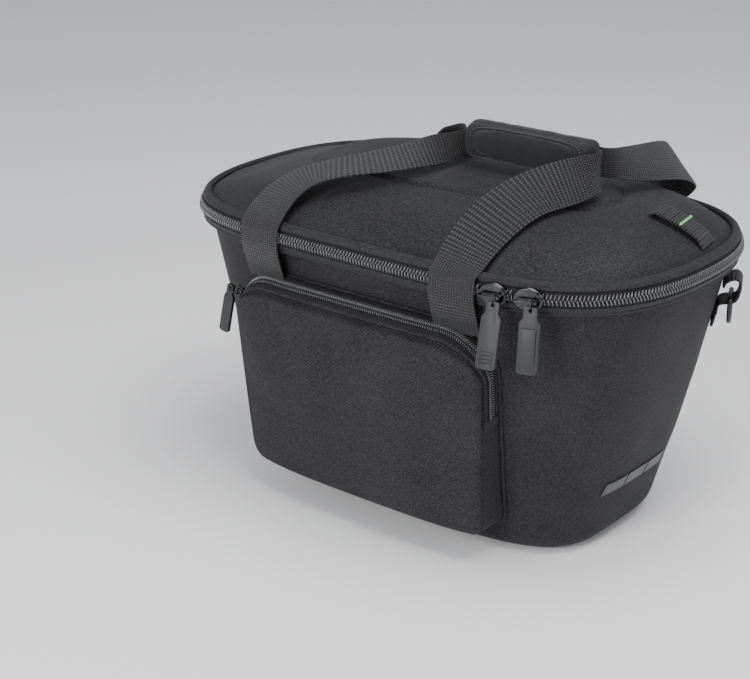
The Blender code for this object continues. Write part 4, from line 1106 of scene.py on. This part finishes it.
# Shoulder strap rings: a moulded ring hangs in a loop of 25 mm webbing at each far corner. The
# webbing's tail lies flat on the wall and is sewn down.
TAB_WIDTH = 0.024
TAB_THICKNESS = 0.0024
TAB_TOP = ZIP_HEIGHT - 0.025
TAB_BOTTOM = TAB_TOP - 0.038
TAB_LOOP_DEPTH = 0.0125
TAB_LOOP_DROP = 0.019
TAB_SEAT = 0.0018
TAB_TURN = math.radians(29)
narrow_webbing = webbing_finish("narrow_webbing", 0.0024, 0.0018)
plastic = speckled_finish("moulded_plastic", 0.33, 0.5, 0.003, (0.009, 0.009, 0.010),
                          (0.017, 0.017, 0.018), 3.0, 0.0, (0.0006, 0.00005))
for end, turn, ring_body in (("rear", TAB_TURN, "rear_ring"), ("front", math.pi - TAB_TURN, "front_ring")):
    flat = outward(lambda angle: oval(angle, *wall_sizes(TAB_TOP)), turn)
    out = Vector((flat.x, flat.y, 0))
    along = Vector((-out.y, out.x, 0))
    base = Vector((*oval(turn, *wall_sizes(TAB_TOP)), TAB_TOP))

    def tab_place(height, off):
        place = Vector((*oval(turn, *wall_sizes(height)), TAB_TOP))
        return base + out * ((place - base).dot(out) + off) + Vector((0, 0, height - TAB_TOP))
    knee = TAB_TOP - TAB_LOOP_DROP
    tab_path = [tab_place(height, TAB_SEAT + off) for height, off in (
        (TAB_BOTTOM, 0.0003), (blend(TAB_BOTTOM, knee, 0.5), 0.0003), (knee - 0.003, 0.0),
        (knee - 0.001, 0.0015), (knee, TAB_LOOP_DEPTH * 0.45), (knee + 0.001, TAB_LOOP_DEPTH * 0.85),
        (knee + 0.004, TAB_LOOP_DEPTH), (blend(knee, TAB_TOP, 0.6), TAB_LOOP_DEPTH),
        (TAB_TOP - 0.002, TAB_LOOP_DEPTH * 0.85), (TAB_TOP, TAB_LOOP_DEPTH * 0.5),
        (TAB_TOP - 0.003, 0.001), (TAB_TOP - 0.007, 0.0))]
    places = [Vector(place) for place in smooth_line(tab_path, 8)]
    talls = [ahead.cross(along) * TAB_THICKNESS / 2 for ahead in directions(places)]
    made_piece(f"{end}_tab", swept(places, [along * TAB_WIDTH / 2] * len(places), talls, FLAT_OUTLINE),
               narrow_webbing, "bag", [f"strap_ring_{end}_tab"], "webbing")
    node = f"strap_ring_{end}"
    rounded_off(made_piece(f"{end}_ring_moulding", rounded_copy(node, 0), plastic, ring_body, [node],
                           "ring_plastic"))
    tacks = [(tab_place(height, TAB_SEAT + 0.0016) + along * TAB_WIDTH * (step - 4) / 9.5, along, out)
             for height in (TAB_BOTTOM + 0.003, TAB_BOTTOM + 0.010) for step in range(9)]
    stitches(f"{end}_tab_stitches", tacks, 0.0020, STITCH_THICKNESS, thread_finish)

# Light loop: a length of narrow webbing with bold ribs, sewn at its two ends to the lid's rear
# slope, with one pale green thread across it.
LOOP_ALONG = RIM_LENGTH / 2 - 0.0325
LOOP_ACROSS = 0.017
LOOP_TURN = math.radians(7)
LOOP_LENGTH = 0.043
LOOP_WIDTH = 0.021
LOOP_STEPS = 156
LOOP_RIBS = 13


def loop_edge(along, across):
    """A place on the lid from its distances along and across the light loop."""
    x = LOOP_ALONG + along * math.cos(LOOP_TURN) - across * math.sin(LOOP_TURN)
    y = LOOP_ACROSS + along * math.sin(LOOP_TURN) + across * math.cos(LOOP_TURN)
    return Vector((x, y, lid_height(x, y)))


loop_places = []
loop_wides = []
loop_talls = []
for step in range(LOOP_STEPS + 1):
    share = step / LOOP_STEPS
    low, high = (loop_edge(LOOP_LENGTH * (share - 0.5), LOOP_WIDTH / 2 * side) for side in (-1, 1))
    bow = 0.0008 + 0.0032 * smooth_step(min(share, 1 - share) / 0.13)
    rib = 0.72 + 0.5 * abs(math.sin(math.pi * LOOP_RIBS * share)) ** 0.7
    loop_places.append((low + high) / 2 + Vector((0, 0, 0.0011 + bow)))
    wide = (high - low) / 2
    ahead = Vector((math.cos(LOOP_TURN), math.sin(LOOP_TURN), -0.4))
    loop_wides.append(wide.normalized() * LOOP_WIDTH / 2)
    loop_talls.append(ahead.cross(wide).normalized() * 0.0011 * rib)
made_piece("light_loop_webbing", swept(loop_places, loop_wides, loop_talls, FLAT_OUTLINE), narrow_webbing,
           "bag", ["light_loop"], "webbing")
green = speckled_finish("green_thread", 0.6, 0.3, 0.0008, (0.20, 0.42, 0.20), (0.36, 0.62, 0.34))
tack_shares = [(step - 4) / 4.6 for step in range(9)]
for name, share, lift, acrosses, length, thick, finish in (
        ("light_loop_thread", 0.56, 1.25, (-0.8, -0.4, 0.0, 0.4, 0.8), 0.0056, 0.0026, green),
        ("light_loop_front_tack", 0.05, 1.15, tack_shares, 0.0022, 0.0007, thread_finish),
        ("light_loop_rear_tack", 0.95, 1.15, tack_shares, 0.0022, 0.0007, thread_finish)):
    step = round(LOOP_STEPS * share)
    wide = loop_wides[step]
    tall = loop_talls[step]
    places = [(loop_places[step] + tall * lift + wide * across, wide.normalized(), tall.normalized())
              for across in acrosses]
    stitches(name, places, length, thick, finish)

# Reflective strips: three slanted pieces of grey film with a fine cell pattern, bonded in a row
# low on the rear end. Each follows the curve of the wall.
STRIP_LENGTH = 0.026
STRIP_HEIGHT = 0.0095
STRIP_SLANT = 0.0032
STRIP_BOTTOM = 0.0485
STRIP_SHIFT = -0.003
STRIP_PITCH = 0.0275


def end_reach(across, height):
    """How far the rear end's wall stands from the middle, at a place across the bag."""
    half_length, half_width, end_power, side_power = wall_sizes(height)
    fullness = 1 - min(abs(across) / half_width, 0.999) ** side_power
    reach = half_length * fullness ** (1 / end_power)
    return reach + wall_swell(Vector((reach, across, height)))


film, film_tree, film_shader, film_source = plain_finish("reflective_film", 0.36, 0.5)
film_cells = film_tree.nodes.new("ShaderNodeTexVoronoi")
film_cells.inputs["Scale"].default_value = 900
film_tree.links.new(film_source["Object"], film_cells.inputs["Vector"])
film_grain = film_cells.outputs["Distance"]
shaded(film_tree, film_shader, film_grain, (0.030, 0.030, 0.031), (0.052, 0.052, 0.054), 0.1, 0.7)
raised(film_tree, film_shader, film_grain, 0.00005)
for number in range(3):
    def strip_corner(column, row):
        height = STRIP_BOTTOM + STRIP_HEIGHT * row / 8
        across = STRIP_SHIFT + (number - 1) * STRIP_PITCH
        across += STRIP_LENGTH * (column / 20 - 0.5) + STRIP_SLANT * (row / 8 - 0.5)
        return Vector((end_reach(across, height) + 0.0004, across, height))
    strip_shape = shaped_grid(20, 8, strip_corner, STRIP_LENGTH, STRIP_HEIGHT)
    strip = made_piece(f"reflective_strip_{number + 1}", strip_shape, film, "bag",
                       [f"reflector_{number + 1}"], "reflective")
    thickened(strip, "film", 0.0004, 1.0)
